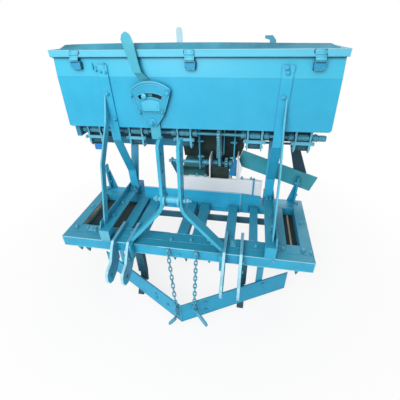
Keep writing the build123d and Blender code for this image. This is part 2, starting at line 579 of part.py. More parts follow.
def lid():
    def rim_z(y, height):
        return FRAME_TOP + LID_RIM_BOTTOM + height - lid_fall(y)

    rim = side_plate([(LID_FRONT_Y, rim_z(LID_FRONT_Y, 0)), (LID_FRONT_Y, rim_z(LID_FRONT_Y, LID_RIM_HEIGHT)),
                      (LID_REAR_Y, rim_z(LID_REAR_Y, LID_RIM_HEIGHT)), (LID_REAR_Y, rim_z(LID_REAR_Y, 0))],
                     LID_LEFT, LID_RIGHT)
    y0, y1, roof = LID_FRONT_Y + LID_SHEET, LID_REAR_Y - LID_SHEET, LID_RIM_HEIGHT - LID_SHEET
    rim -= side_plate([(y0, rim_z(y0, -5.0)), (y0, rim_z(y0, roof)), (y1, rim_z(y1, roof)), (y1, rim_z(y1, -5.0))],
                      LID_LEFT + LID_SHEET, LID_RIGHT - LID_SHEET)
    # crown: a shallow raised panel with its ridge near the front
    border, slope = LID_CROWN_BORDER, LID_CROWN_SLOPE
    inset = border + slope
    front, rear = LID_FRONT_Y + border, LID_REAR_Y - border
    across = side_plate([(front, rim_z(front, roof)), (front, rim_z(front, LID_RIM_HEIGHT)),
                         (LID_FRONT_Y + inset, rim_z(LID_FRONT_Y + inset, LID_RIM_HEIGHT + LID_CROWN_RISE)),
                         (rear, rim_z(rear, LID_RIM_HEIGHT + LID_REAR_RISE)), (rear, rim_z(rear, roof))],
                        LID_LEFT, LID_RIGHT)
    low = rim_z(LID_REAR_Y, 0)
    high = rim_z(LID_FRONT_Y, LID_RIM_HEIGHT)
    left, right = LID_LEFT + LID_CROWN_LEFT[0], LID_RIGHT - LID_CROWN_RIGHT[0]
    along = front_plate([(left, low), (left, high), (left + LID_CROWN_LEFT[1], high + LID_CROWN_RISE),
                         (right - LID_CROWN_RIGHT[1], high + LID_CROWN_RISE), (right, high), (right, low)],
                        LID_FRONT_Y, LID_REAR_Y)
    lid_solid = rim + (across & along)
    # knuckles on the lid's rear skirt
    for x in HINGE_XS:
        lid_solid += rod_x(x - HINGE_KNUCKLE / 2, x + HINGE_KNUCKLE / 2, HINGE_Y, HINGE_Z, HINGE_BARREL / 2)
        lid_solid += block(x - HINGE_KNUCKLE / 2, x + HINGE_KNUCKLE / 2, LID_REAR_Y - 1.0, HINGE_Y,
                           HINGE_Z, HINGE_Z + HINGE_BARREL / 2)
        lid_solid -= rod_x(x - HINGE_KNUCKLE, x + HINGE_KNUCKLE, HINGE_Y, HINGE_Z,
                           HINGE_PIN / 2 + RUNNING_CLEARANCE)
    keep("hopper_lid", lid_solid)
    # fixed hinge halves: two knuckles each side on a leg from the hopper's rear wall, and the pin
    fixed = []
    for x in HINGE_XS:
        a = x - HINGE_KNUCKLE / 2 - HINGE_GAP
        b = x + HINGE_KNUCKLE / 2 + HINGE_GAP
        outer_a, outer_b = a - HINGE_KNUCKLE / 2, b + HINGE_KNUCKLE / 2
        hinge = rod_x(outer_a, outer_b, HINGE_Y, HINGE_Z, HINGE_PIN / 2)
        for x0, x1 in ((outer_a, a), (b, outer_b)):
            hinge += rod_x(x0, x1, HINGE_Y, HINGE_Z, HINGE_BARREL / 2)
            hinge += side_plate([(HINGE_Y - 6.0, HINGE_Z - 2.0), (HINGE_Y - 6.0, HINGE_Z - 52.0),
                                 (HOPPER_REAR_Y, HINGE_Z - 74.0), (HOPPER_REAR_Y, HINGE_Z - 86.0),
                                 (HINGE_Y + 4.0, HINGE_Z - 60.0), (HINGE_Y + 4.0, HINGE_Z - 2.0)], x0, x1)
        leaf_z = HINGE_Z - 86.0
        hinge += block(outer_a, outer_b, HOPPER_REAR_Y, HOPPER_REAR_Y + 4.0, leaf_z, leaf_z + 14.0)
        fixed.append(hinge)
    keep("lid_hinges", *fixed)


HASP_DROP = 20.0             # below the lid's rim
HASP_THICKNESS = 4.0
POCKET_GAP = 5.0
POCKET_HEIGHT = 44.0
POCKET_DEPTH = 14.0


def latches():
    rim_bottom = FRAME_TOP + LID_RIM_BOTTOM
    rim_top = rim_bottom + LID_RIM_HEIGHT
    hasps, pockets = [], []
    pocket_top = rim_bottom - HASP_DROP - POCKET_GAP
    wall_y = HOPPER_FRONT_Y
    for x in LATCH_XS:
        x0, x1 = x - LATCH_WIDTH / 2, x + LATCH_WIDTH / 2
        hasps.append(block(x0, x1, LID_FRONT_Y - HASP_THICKNESS, LID_FRONT_Y,
                           rim_bottom - HASP_DROP, rim_top - 3.0))
        pockets.append(front_plate([(x0 + 4, pocket_top), (x0 + 4, pocket_top - POCKET_HEIGHT + 10),
                                    (x0 + 14, pocket_top - POCKET_HEIGHT), (x1 - 6, pocket_top - POCKET_HEIGHT),
                                    (x1 + 4, pocket_top - POCKET_HEIGHT + 10), (x1 + 4, pocket_top)],
                                   wall_y - POCKET_DEPTH, wall_y))
    keep("lid_hasps", *hasps)
    # the pockets' backs follow the leaning band
    band = side_plate([(HOPPER_FRONT_Y, HOPPER_FLOOR), (HOPPER_FRONT_Y, FRAME_TOP + HOPPER_CREASE),
                       (HOPPER_FRONT_Y + HOPPER_FRONT_LEAN, FRAME_TOP + HOPPER_TOP),
                       (HOPPER_FRONT_Y + 200.0, FRAME_TOP + HOPPER_TOP), (HOPPER_FRONT_Y + 200.0, HOPPER_FLOOR)],
                      -HALF_WIDTH, HALF_WIDTH)
    seated = []
    for pocket, x in zip(pockets, LATCH_XS):
        back = block(x - LATCH_WIDTH / 2 + 6, x + LATCH_WIDTH / 2 + 2, wall_y - 1, wall_y + HOPPER_FRONT_LEAN,
                     pocket_top - POCKET_HEIGHT + 2, pocket_top)
        seated.append(pocket + (back - band))
    keep("latch_pockets", *seated)


# ---------------------------------------------------------------- rate lever
def polar(radius, degrees_from_up):
    """A point (x, z) about the lever's pivot; angles are from straight up, positive to +X."""
    angle = math.radians(degrees_from_up)
    return (LEVER_PIVOT_X + radius * math.sin(angle), LEVER_PIVOT_Z + radius * math.cos(angle))


def arc_points(radius, start, end, count):
    return [polar(radius, start + (end - start) * i / (count - 1)) for i in range(count)]


def from_pivot(*offsets):
    return [(LEVER_PIVOT_X + dx, LEVER_PIVOT_Z + dz) for dx, dz in offsets]


def rate_control():
    plate_back = HOPPER_FRONT_Y - SECTOR_STANDOFF
    plate_front = plate_back - SECTOR_PLATE
    arc = []
    for i in range(13):
        angle = math.radians(SECTOR_HALF_ANGLE * (i / 6 - 1))
        arc.append((SECTOR_ARC_CENTRE[0] + SECTOR_ARC_RADIUS * math.sin(angle),
                    SECTOR_ARC_CENTRE[1] + SECTOR_ARC_RADIUS * math.cos(angle)))
    right_side = [(119.0, 166.0), (103.0, 124.0), (77.0, 57.0), (64.0, 32.0), (36.0, -5.0), (18.0, -26.0)]
    left_side = [(-18.0, -26.0), (-38.0, -5.0), (-72.0, 30.0), (-76.0, 57.0), (-97.0, 120.0), (-106.0, 172.0)]
    plate = front_plate(from_pivot(*(arc + right_side + left_side)), plate_front, plate_back)
    slot = arc_points(SLOT_RADIUS + SLOT_WIDTH / 2, SLOT_FROM, SLOT_TO, 9) \
        + arc_points(SLOT_RADIUS - SLOT_WIDTH / 2, SLOT_TO, SLOT_FROM, 9)
    plate -= front_plate(slot, plate_front - 1, plate_back + 1)
    # four studs carry the plate clear of the hopper
    for x, z in from_pivot((-108.0, 150.0), (107.0, 167.0), (-69.0, 58.0), (67.0, 62.0)):
        plate += rod_y(plate_front - 4.0, HOPPER_FRONT_Y, x, z, 9.0)
    plate += rod_y(plate_front, HOPPER_FRONT_Y, LEVER_PIVOT_X, LEVER_PIVOT_Z, LEVER_PIVOT_PIN / 2)
    keep("rate_sector", plate)
    # lever: a blade in the gap behind the plate, a dogleg above it, the handle in front of the lid
    blade_back = HOPPER_FRONT_Y - 5.0
    blade_front = blade_back - LEVER_THICKNESS
    blade = front_plate([polar(22.0, 120.0), polar(22.0, 180.0), polar(22.0, 240.0),
                         polar(232.0, -14.0), polar(231.0, 1.0)], blade_front, blade_back)
    blade -= rod_y(blade_front - 1, blade_back + 1, LEVER_PIVOT_X, LEVER_PIVOT_Z,
                   LEVER_PIVOT_PIN / 2 + RUNNING_CLEARANCE)
    tail = front_plate(from_pivot((-23.0, 0.0), (37.0, 0.0), (38.0, -110.0), (-23.0, -110.0)),
                       blade_front, blade_back)
    blade += tail - rod_y(blade_front - 1, blade_back + 1, LEVER_PIVOT_X, LEVER_PIVOT_Z,
                          LEVER_PIVOT_PIN / 2 + RUNNING_CLEARANCE)
    neck_low, neck_high = LEVER_PIVOT_Z + 228.0, LEVER_PIVOT_Z + 272.0
    handle_back = LID_FRONT_Y - HASP_THICKNESS - 8.0
    handle_front = handle_back - LEVER_THICKNESS
    neck = side_plate([(blade_back, neck_low - 8.0), (blade_front, neck_low - 8.0), (blade_front, neck_low),
                       (handle_front, neck_high), (handle_back, neck_high), (blade_back, neck_low)],
                      LEVER_PIVOT_X - 80.0, LEVER_PIVOT_X + 40.0)
    neck &= front_plate(from_pivot((-75.0, 273.0), (-30.0, 273.0), (4.0, 227.0), (4.0, 210.0), (-52.0, 210.0),
                                   (-52.0, 227.0)), handle_front - 1, blade_back + 1)
    handle = front_plate(from_pivot((-75.0, 269.0), (-30.0, 269.0), (-38.0, 303.0), (-53.0, 405.0), (-63.0, 435.0),
                                    (-72.0, 452.0), (-92.0, 460.0), (-111.0, 447.0), (-119.0, 426.0),
                                    (-97.0, 346.0)), handle_front, handle_back)
    keep("rate_lever", blade + neck + handle)


# ---------------------------------------------------------------- metering row
def metering():
    # the rail under the rear units: a deep flat at the left, a round bar at the right, cut for the legs
    rail_y, rail_top = REAR_SHAFT_Y - 18.0, FRAME_TOP + REAR_RAIL_TOP
    rail = block(METER_XS[0] - 30.0, METER_XS[2] + 20.0, rail_y, rail_y + 8.0, rail_top - REAR_RAIL_DEPTH, rail_top)
    rail += rod_x(METER_XS[2], METER_XS[4] + 50.0, rail_y + 4.0, rail_top - 8.0, 8.0)
    for leg in NODES["rear_legs"]:
        rail -= leg
    keep("rear_rail", rail)
    units, rear_units = [], []
    half = METER_FLAT_SPACING / 2
    inner = half - METER_FLAT / 2
    front = FEED_SHAFT_Y - 24.0
    for x in METER_XS:
        rise = FRAME_TOP + METER_RISE * (x - METER_XS[3])
        unit = None
        for side in (-1, 1):
            flat = block(x + side * half - METER_FLAT / 2, x + side * half + METER_FLAT / 2,
                         front, FEED_SHAFT_Y + 30.0, rise + 446.0, UNDER_HOPPER) - HOPPER_BLOCK
            flat -= rod_x(x - 200, x + 200, FEED_SHAFT_Y, FEED_SHAFT_Z, FEED_SHAFT_RADIUS + RUNNING_CLEARANCE)
            unit = flat if unit is None else unit + flat
        cup = block(x - inner, x + inner, FEED_SHAFT_Y - 14.0, FEED_SHAFT_Y + 26.0, rise + 453.0, rise + 492.0)
        bar = block(x - half - 24.0, x + half + 24.0, front - 6.0, front, rise + 501.0, rise + 520.0)
        units.append(unit + cup + bar)
        housing = block(x - 45.0, x + 45.0, REAR_SHAFT_Y - 22.0, REAR_SHAFT_Y + 33.0,
                        FRAME_TOP + 490.0, UNDER_HOPPER) - HOPPER_BLOCK
        housing += block(x - 22.0, x + 22.0, REAR_SHAFT_Y - 22.0, REAR_SHAFT_Y + 22.0,
                         rail_top - REAR_STEM_GRIP, FRAME_TOP + 490.0) - rail
        housing -= rod_x(x - 100, x + 100, REAR_SHAFT_Y, FEED_SHAFT_Z, FEED_SHAFT_RADIUS + RUNNING_CLEARANCE)
        rear_units.append(housing)
    keep("metering_front", *units)
    keep("metering_rear", *rear_units)
    # feed shafts: round bar, sleeves between the flats, a sprocket and a hand knob
    left, right = METER_XS[0] - 114.0, HALF_WIDTH + 24.0
    shaft = rod_x(left, right, FEED_SHAFT_Y, FEED_SHAFT_Z, FEED_SHAFT_RADIUS)
    for x in METER_XS:
        shaft += rod_x(x - inner + 5, x + inner - 5, FEED_SHAFT_Y, FEED_SHAFT_Z, 18.0)
        for x_a in (x - half - METER_FLAT / 2 - 5.0 - METER_COLLAR, x + half + METER_FLAT / 2 + 5.0):
            shaft += rod_x(x_a, x_a + METER_COLLAR, FEED_SHAFT_Y, FEED_SHAFT_Z, 20.0)
    shaft += sprocket(FEED_SPROCKET_TEETH, UPPER_CHAIN_X, FEED_SHAFT_Y, FEED_SHAFT_Z)
    shaft += rod_x(right - 44.0, right, FEED_SHAFT_Y, FEED_SHAFT_Z, 17.0)
    keep("feed_shaft_front", shaft)
    rear_right = METER_XS[-1] + 70.0
    keep("feed_shaft_rear", rod_x(left, rear_right, REAR_SHAFT_Y, FEED_SHAFT_Z, FEED_SHAFT_RADIUS))
    # the case over the chain that joins the two feed shafts at the left end
    case_x = left - 6.0
    case = block(case_x, case_x + 30.0, FEED_SHAFT_Y - 40.0, REAR_SHAFT_Y + 40.0, FEED_SHAFT_Z - 36.0,
                 UNDER_HOPPER) - HOPPER_BLOCK
    for y in (FEED_SHAFT_Y, REAR_SHAFT_Y):
        case -= rod_x(left - 0.3, case_x + 40.0, y, FEED_SHAFT_Z, FEED_SHAFT_RADIUS + RUNNING_CLEARANCE)
    keep("shaft_link_case", case)
    keep("seed_cup", block(METER_XS[0] - 32.0, METER_XS[0] + 32.0, FEED_SHAFT_Y - 12.0, FEED_SHAFT_Y + 24.0,
                           FRAME_TOP + 398.0, FRAME_TOP + 453.0 + METER_RISE * (METER_XS[0] - METER_XS[3])))


# ---------------------------------------------------------------- drive
HANGER_XS = (31.0, 268.0)
HANGER_Y = FRAME_DEPTH - 72.0
HANGER_DEPTH = 40.0
SHAFT_LEGS = (               # X of the leg, how far its foot reaches, height of its top above the frame's
    (108.0, -155.0, 362.0), (296.0, 140.0, 372.0))
SHAFT_LAND = 18.0            # metal behind the counter shaft's centre


def drive():
    hangers = []
    for x in HANGER_XS:
        hanger = block(x - 4, x + 4, HANGER_Y, COUNTER_SHAFT_Y + SHAFT_LAND, COUNTER_SHAFT_Z - 30.0, COUNTER_SHAFT_Z + 30.0)
        hanger += block(x - 4, x + 4, HANGER_Y, HANGER_Y + HANGER_DEPTH, COUNTER_SHAFT_Z - 30.0,
                        UNDER_HOPPER) - HOPPER_BLOCK
        hanger -= rod_x(x - 10, x + 10, COUNTER_SHAFT_Y, COUNTER_SHAFT_Z,
                        COUNTER_SHAFT_RADIUS + RUNNING_CLEARANCE)
        hangers.append(hanger)
    keep("drive_hangers", *hangers)
    legs = []
    base_top = DRIVE_BEAM_TOP + BRACKET_BASE
    for x, reach, height in SHAFT_LEGS:
        leg = block(x - 4, x + 4, DRIVE_BEAM_FRONT, COUNTER_SHAFT_Y + SHAFT_LAND, DRIVE_BEAM_TOP, FRAME_TOP + height)
        leg -= rod_x(x - 10, x + 10, COUNTER_SHAFT_Y, COUNTER_SHAFT_Z,
                     COUNTER_SHAFT_RADIUS + RUNNING_CLEARANCE)
        leg += block(min(x, x + reach), max(x, x + reach), DRIVE_BEAM_FRONT,
                     DRIVE_BEAM_FRONT + DRIVE_BEAM_DEPTH, DRIVE_BEAM_TOP, base_top)
        legs.append(leg)
    # a gusset stiffens the right one
    corner_x = SHAFT_LEGS[1][0] + 4.0
    gusset_y = DRIVE_BEAM_FRONT + DRIVE_BEAM_DEPTH / 2
    leg_top = FRAME_TOP + SHAFT_LEGS[1][2]
    legs[1] += front_plate([(corner_x, base_top), (corner_x, leg_top), (corner_x + 30.0, leg_top - 80.0),
                            (corner_x + 18.0, base_top + 40.0), (corner_x + 22.0, base_top)],
                           gusset_y - 3.0, gusset_y + 3.0)
    keep("shaft_brackets", *legs)
    x0, x1 = ARM_XS[0] - 22.0, SHAFT_LEGS[1][0] + 20.0
    shaft = rod_x(x0, x1, COUNTER_SHAFT_Y, COUNTER_SHAFT_Z, COUNTER_SHAFT_RADIUS)
    shaft += sprocket(COUNTER_UPPER_TEETH, UPPER_CHAIN_X, COUNTER_SHAFT_Y, COUNTER_SHAFT_Z)
    shaft += sprocket(COUNTER_LOWER_TEETH, LOWER_CHAIN_X, COUNTER_SHAFT_Y, COUNTER_SHAFT_Z)
    keep("counter_shaft", shaft)
    loops = (            # X, upper end (y, z, teeth), lower end (y, z, teeth)
        (UPPER_CHAIN_X, (FEED_SHAFT_Y, FEED_SHAFT_Z, FEED_SPROCKET_TEETH),
         (COUNTER_SHAFT_Y, COUNTER_SHAFT_Z, COUNTER_UPPER_TEETH)),
        (LOWER_CHAIN_X, (COUNTER_SHAFT_Y, COUNTER_SHAFT_Z, COUNTER_LOWER_TEETH),
         (WHEEL_Y, WHEEL_Z, WHEEL_SPROCKET_TEETH)))
    for x, a, b in loops:
        x0, x1 = x - CHAIN_WIDTH / 2, x + CHAIN_WIDTH / 2
        half = CHAIN_HEIGHT / 2
        outer = belt_loop(a[0], a[1], sprocket_radius(a[2]) + half, b[0], b[1], sprocket_radius(b[2]) + half, x0, x1)
        inner = belt_loop(a[0], a[1], sprocket_radius(a[2]) - half, b[0], b[1], sprocket_radius(b[2]) - half,
                          x0 - 1, x1 + 1)
        keep("drive_chains", outer - inner)


def ground_wheel():
    x0, x1 = WHEEL_X - WHEEL_WIDTH / 2, WHEEL_X + WHEEL_WIDTH / 2
    rim = rod_x(x0, x1, WHEEL_Y, WHEEL_Z, WHEEL_RIM_RADIUS)
    rim -= rod_x(x0 - 1, x1 + 1, WHEEL_Y, WHEEL_Z, WHEEL_RIM_RADIUS - WHEEL_RIM_THICKNESS)
    wheel = rim + rod_x(x0 + 5, x1 - 5, WHEEL_Y, WHEEL_Z, HUB_RADIUS)
    for i in range(SPOKE_COUNT):
        spoke = block(WHEEL_X - 20.0, WHEEL_X + 20.0, -5.0, 5.0, HUB_RADIUS - 4.0,
                      WHEEL_RIM_RADIUS - WHEEL_RIM_THICKNESS / 2)
        wheel += Pos(0, WHEEL_Y, WHEEL_Z) * Rot(360.0 * (i + 0.5) / SPOKE_COUNT, 0, 0) * spoke
    for i in range(LUG_COUNT):
        lug = block(x0 + 4, x1 - 4, -LUG_THICKNESS / 2, LUG_THICKNESS / 2, WHEEL_RIM_RADIUS - 2.0,
                    WHEEL_RIM_RADIUS + LUG_HEIGHT)
        wheel += Pos(0, WHEEL_Y, WHEEL_Z) * Rot(360.0 * i / LUG_COUNT, 0, 0) * lug
    keep("ground_wheel", wheel - rod_x(x0, x1, WHEEL_Y, WHEEL_Z, AXLE_RADIUS))
    axle = rod_x(ARM_XS[0] - 20.0, ARM_XS[1] + 20.0, WHEEL_Y, WHEEL_Z, AXLE_RADIUS)
    axle += sprocket(WHEEL_SPROCKET_TEETH, LOWER_CHAIN_X, WHEEL_Y, WHEEL_Z)
    keep("wheel_axle", axle)
    arms = []
    for x in ARM_XS:
        arm = belt_loop(COUNTER_SHAFT_Y, COUNTER_SHAFT_Z, ARM_WIDTH / 2, WHEEL_Y, WHEEL_Z, ARM_WIDTH / 2 + 4.0,
                        x - ARM_THICKNESS / 2, x + ARM_THICKNESS / 2)
        arm -= rod_x(x - 10, x + 10, COUNTER_SHAFT_Y, COUNTER_SHAFT_Z, COUNTER_SHAFT_RADIUS + RUNNING_CLEARANCE)
        arm -= rod_x(x - 10, x + 10, WHEEL_Y, WHEEL_Z, AXLE_RADIUS + RUNNING_CLEARANCE)
        arms.append(arm)
    keep("wheel_arms", *arms)


# ---------------------------------------------------------------- soil-engaging parts
def tine(x, shank_y, seat_z, half_shovel):
    """One tine: foot plate under the beam, upright shank, shovel and seed boot."""
    x0, x1 = x - SHANK_WIDTH / 2, x + SHANK_WIDTH / 2
    y0, y1 = shank_y, shank_y + SHANK_THICKNESS
    tip_y = y0 - TIP_FORWARD
    shank = side_plate([(y0, seat_z), (y0, 130.0), (tip_y, 0.0), (tip_y + 26.0, 12.0), (y1, 84.0),
                        (y1, seat_z)], x - SHANK_WIDTH / 4, x + SHANK_WIDTH / 4)
    upper = block(x0, x1, y0, y1, 150.0, seat_z)
    foot = block(x0 - 12, x1 + 12, y0 - SHANK_SETBACK, y0 + 52.0, seat_z - 10.0, seat_z)
    shovel = side_plate([(tip_y, 0.0), (y0 - 8.0, 104.0), (y0, 104.0), (tip_y + 12.0, 6.0)],
                        x - half_shovel, x + half_shovel)
    boot = side_plate([(y1, 330.0), (y1 + 40.0, 330.0), (y1 + 40.0, 120.0), (y1 + 24.0, 24.0),
                       (y1 + 4.0, 34.0), (y1, 130.0)], x - BOOT_WIDTH / 2, x + BOOT_WIDTH / 2)
    return shank + upper + foot + shovel + boot


def tines():
    keep("tines_front", *[tine(x, FRONT_SHANK_Y, FRAME_TOP - TINE_BAR_HEIGHT, FRONT_SHOVEL_WIDTH / 2)
                          for x in TINE_XS_FRONT])
    keep("tines_rear", *[tine(x, REAR_TINE_BAR_FRONT + SHANK_SETBACK, FRAME_TOP - REAR_TINE_BAR_HEIGHT,
                              REAR_SHOVEL_WIDTH / 2) for x in TINE_XS_REAR])
    # strap clamps over the two rear bars: top plate, two legs down the bars' faces
    clamps = []
    top = FRAME_TOP + CLAMP_PLATE
    for x in CLAMPED_XS:
        x0, x1 = x - TINE_CLAMP_WIDTH / 2, x + TINE_CLAMP_WIDTH / 2
        strap = block(x0, x1, REAR_TINE_BAR_FRONT - CLAMP_PLATE, FRAME_DEPTH + CLAMP_PLATE,
                      FRAME_TOP - REAR_BEAM_HEIGHT, top)
        strap -= block(x0 - 1, x1 + 1, REAR_TINE_BAR_FRONT, FRAME_DEPTH,
                       FRAME_TOP - REAR_BEAM_HEIGHT - 1, FRAME_TOP)
        clamps.append(strap)
    keep("beam_straps", *clamps)


def levelling_board():
    z0, z1 = BOARD_BOTTOM, BOARD_BOTTOM + BOARD_HEIGHT
    length = math.hypot(BOARD_HALF_SPAN, BOARD_SWEEP)
    back = BOARD_THICKNESS * length / BOARD_HALF_SPAN
    arms = []
    for sign in (-1, 1):
        end_x, end_y = BOARD_APEX_X + sign * BOARD_HALF_SPAN, BOARD_APEX_Y + BOARD_SWEEP
        arms.append(plan_plate([(BOARD_APEX_X, BOARD_APEX_Y), (end_x, end_y), (end_x, end_y + back),
                                (BOARD_APEX_X, BOARD_APEX_Y + back)], z0, z1))
    keep("v_board", arms[0] + arms[1])
    # hangers from the frame's underside to the back of each arm
    slope = BOARD_SWEEP / BOARD_HALF_SPAN
    hangers = []
    for x in (-445.0, 495.0):
        sign = -1 if x < BOARD_APEX_X else 1
        reach = abs(x - BOARD_APEX_X)
        at = lambda distance: BOARD_APEX_Y + back + slope * distance
        hanger = plan_plate([(x - sign * 22.0, at(reach - 22.0)), (x + sign * 22.0, at(reach + 22.0)),
                             (x + sign * 22.0, at(reach + 22.0) + 8.0), (x - sign * 22.0, at(reach - 22.0) + 8.0)],
                            z0 + 60.0, FRAME_TOP - TINE_BAR_HEIGHT)
        hangers.append(hanger)
    run = 165.0
    inner = [(BOARD_APEX_X - run, BOARD_APEX_Y + back + slope * run), (BOARD_APEX_X, BOARD_APEX_Y + back),
             (BOARD_APEX_X + run, BOARD_APEX_Y + back + slope * run)]
    splice = plan_plate(inner + [(x, y + 8.0) for x, y in inner[::-1]], z0 + 30.0, z1 - 30.0)
    keep("board_hangers", *hangers, splice)


# ---------------------------------------------------------------- rear board and its brackets
REAR_BOARD_TILT = 18.5
REAR_BOARD_LEFT = 460.0      # how far it reaches from its bolt
REAR_BOARD_RIGHT = 98.0
REAR_BOARD_HEIGHT = 118.0
REAR_BOARD_RISE = 20.0       # its middle above the bolt
REAR_BOARD_THICKNESS = 8.0
REAR_BOLT_X = HALF_WIDTH - 44.0
REAR_BOLT_HEIGHT = 157.0
REAR_BRACKET_HEIGHT = 208.0


def rear_fittings():
    brackets = []
    for sign in (-1, 1):
        x = sign * (REAR_BOLT_X - 14.0)
        upright = block(x - 6, x + 6, FRAME_DEPTH - 40.0, FRAME_DEPTH, FRAME_TOP, FRAME_TOP + REAR_BRACKET_HEIGHT)
        web = front_plate([(x - sign * 6, FRAME_TOP), (x - sign * 6, FRAME_TOP + REAR_BRACKET_HEIGHT - 60.0),
                           (x - sign * 12, FRAME_TOP + REAR_BRACKET_HEIGHT - 60.0),
                           (x - sign * 48, FRAME_TOP)], FRAME_DEPTH - 8.0, FRAME_DEPTH)
        brackets.append(upright + web)
    keep("rear_brackets", *brackets)
    board = block(-REAR_BOARD_LEFT, REAR_BOARD_RIGHT, FRAME_DEPTH, FRAME_DEPTH + REAR_BOARD_THICKNESS,
                  REAR_BOARD_RISE - REAR_BOARD_HEIGHT / 2, REAR_BOARD_RISE + REAR_BOARD_HEIGHT / 2)
    keep("rear_board", Pos(REAR_BOLT_X, 0, FRAME_TOP + REAR_BOLT_HEIGHT) * Rot(0, REAR_BOARD_TILT, 0) * board)
    stay_y0 = FRAME_DEPTH + REAR_BOARD_THICKNESS
    stay_y1 = stay_y0 + REAR_BOARD_THICKNESS
    outline = (          # from the frame's right side, above its top
        (-160.0, 520.0), (-90.0, 520.0), (-80.0, 410.0), (0.0, 215.0), (-80.0, 190.0), (-140.0, 400.0))
    stay = front_plate([(HALF_WIDTH + x, FRAME_TOP + z) for x, z in outline], stay_y0, stay_y1)
    stay += block(HALF_WIDTH - 160.0, HALF_WIDTH - 90.0, stay_y0, stay_y1, FRAME_TOP + 519.0, UNDER_HOPPER) - HOPPER_BLOCK
    keep("rear_stay", stay)
    # two levers behind the hopper, far enough back for the open lid
    blade_y = HINGE_Y + REAR_LEVER_SETBACK
    (tall_x, tall_top), (short_x, short_top) = REAR_LEVERS
    tall_top, short_top = FRAME_TOP + tall_top, FRAME_TOP + short_top
    half = REAR_LEVER_WIDTH / 2
    bottom = FRAME_TOP + HOPPER_CREASE
    tall = front_plate([(tall_x - half, bottom), (tall_x - half, tall_top - 12.0), (tall_x - 10, tall_top),
                        (tall_x + 10, tall_top), (tall_x + half, tall_top - 12.0), (tall_x + half, bottom)],
                       blade_y, blade_y + LEVER_THICKNESS)
    hook = [(-half, -REAR_LEVER_HOOK_RISE), (-53.0, -16.0), (-51.0, 0.0), (-4.0, 0.0), (half, -28.0)]
    short = front_plate([(short_x - half, bottom)] + [(short_x + x, short_top + z) for x, z in hook]
                        + [(short_x + half, bottom)], blade_y, blade_y + LEVER_THICKNESS)
    arms = [block(x - half, x + half, HOPPER_REAR_Y, blade_y + LEVER_THICKNESS, bottom + 6.0, bottom + 16.0)
            for x in (tall_x, short_x)]
    keep("rear_levers", tall + arms[0], short + arms[1])


# ---------------------------------------------------------------- hitch chains
LINK_PITCH = 27.0
LINK_LENGTH = 37.0
LINK_WIDTH = 24.0
LINK_WIRE = 6.0
PIN_DIAMETER = 22.0
CHAINS = (                   # X of its lug, X where it crosses the board, its pin's two ends (Z above ground)
    (-72.0, 2.0, (-3.0, -197.0, 98.0), (-42.0, -226.0, 66.0)),
    (104.0, 110.0, (118.0, -167.0, 160.0), (199.0, -225.0, 106.0)))


def chain_link():
    """A flat oval ring about its own centre, long along X, standing in the XZ plane."""
    outer = Pos(0, 0, 0) * Rot(90, 0, 0) * extrude(SlotOverall(LINK_LENGTH, LINK_WIDTH), amount=LINK_WIRE / 2, both=True)
    inner = Rot(90, 0, 0) * extrude(SlotOverall(LINK_LENGTH - 2 * LINK_WIRE, LINK_WIDTH - 2 * LINK_WIRE),
                                    amount=LINK_WIRE, both=True)
    return outer - inner


def chain_along(route):
    """Links placed end to end along straight runs, every other one turned by a quarter."""
    link = chain_link()
    total = None
    count = 0
    for start, end in zip(route, route[1:]):
        a, b = Vector(*start), Vector(*end)
        run = b - a
        steps = max(1, round(run.length / LINK_PITCH))
        for i in range(steps):
            at = a + run * ((i + 0.5) / steps)
            plane = Plane(origin=at, x_dir=run.normalized(), z_dir=(Vector(0, 0, 1).cross(run)).cross(run).normalized())
            piece = plane * Rot(90 * (count % 2), 0, 0) * link
            total = piece if total is None else total + piece
            count += 1
    return total


def hitch_chains():
    top_y, top_z = -LINK_WIDTH / 2 - 2.0, FRAME_TOP - 6.0
    board_top = BOARD_BOTTOM + BOARD_HEIGHT
    slope = BOARD_SWEEP / BOARD_HALF_SPAN
    chains = []
    for x_top, x_low, pin_start, pin_end in CHAINS:
        board_y = BOARD_APEX_Y + slope * abs(x_low - BOARD_APEX_X)
        start, end = Vector(*pin_start), Vector(*pin_end)
        axis = (end - start).normalized()
        route = [(x_top, top_y, top_z), (x_low, board_y - 14.0, board_top + 10.0), tuple(start - axis * 8.0)]
        lug = block(x_top - 4.0, x_top + 4.0, top_y - 10.0, 0, top_z - 18.0, top_z + 4.0)
        pin = Plane(origin=(start + end) * 0.5, z_dir=axis) * Cylinder(PIN_DIAMETER / 2, (end - start).length)
        chains.append(chain_along(route) + lug + pin)
    keep("hitch_chains", *chains)


# ---------------------------------------------------------------- build and write
def build():
    for make in (frame, rails, carriers, hitch, hopper, lid, latches, rate_control, metering, drive,
                 ground_wheel, tines, levelling_board, rear_fittings, hitch_chains):
        make()


def origin_shift():
    """The vector from the whole machine's bottom centre to the layout's origin."""
    boxes = [shape.bounding_box() for shapes in NODES.values() for shape in shapes]
    low = [min(getattr(b.min, c) for b in boxes) for c in "XYZ"]
    high = [max(getattr(b.max, c) for b in boxes) for c in "XYZ"]
    return Vector(-(low[0] + high[0]) / 2, -(low[1] + high[1]) / 2, -low[2])


def write():
    """Move every node to the shared origin and write one file each."""
    shift = origin_shift()
    print("shift", shift)
    os.makedirs("parts", exist_ok=True)
    for name, shapes in NODES.items():
        moved = [Pos(shift.X, shift.Y, shift.Z) * shape for shape in shapes]
        solids = [solid for shape in moved for solid in shape.solids()]
        export_step(solids[0] if len(solids) == 1 else Compound(solids), "parts/" + name + ".step")


build()
write()
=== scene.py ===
"""The looks of the tractor-mounted seed drill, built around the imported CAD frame.

Lengths in this file are millimetres in the part's layout frame: X = 0 on the frame's centre plane, Y = 0 on
the front face of the front beam, Z = 0 on the frame's top. at() turns them into the row's metres.
"""
import json
import random
from math import acos, atan2, copysign, cos, hypot, pi, radians, sin, sqrt

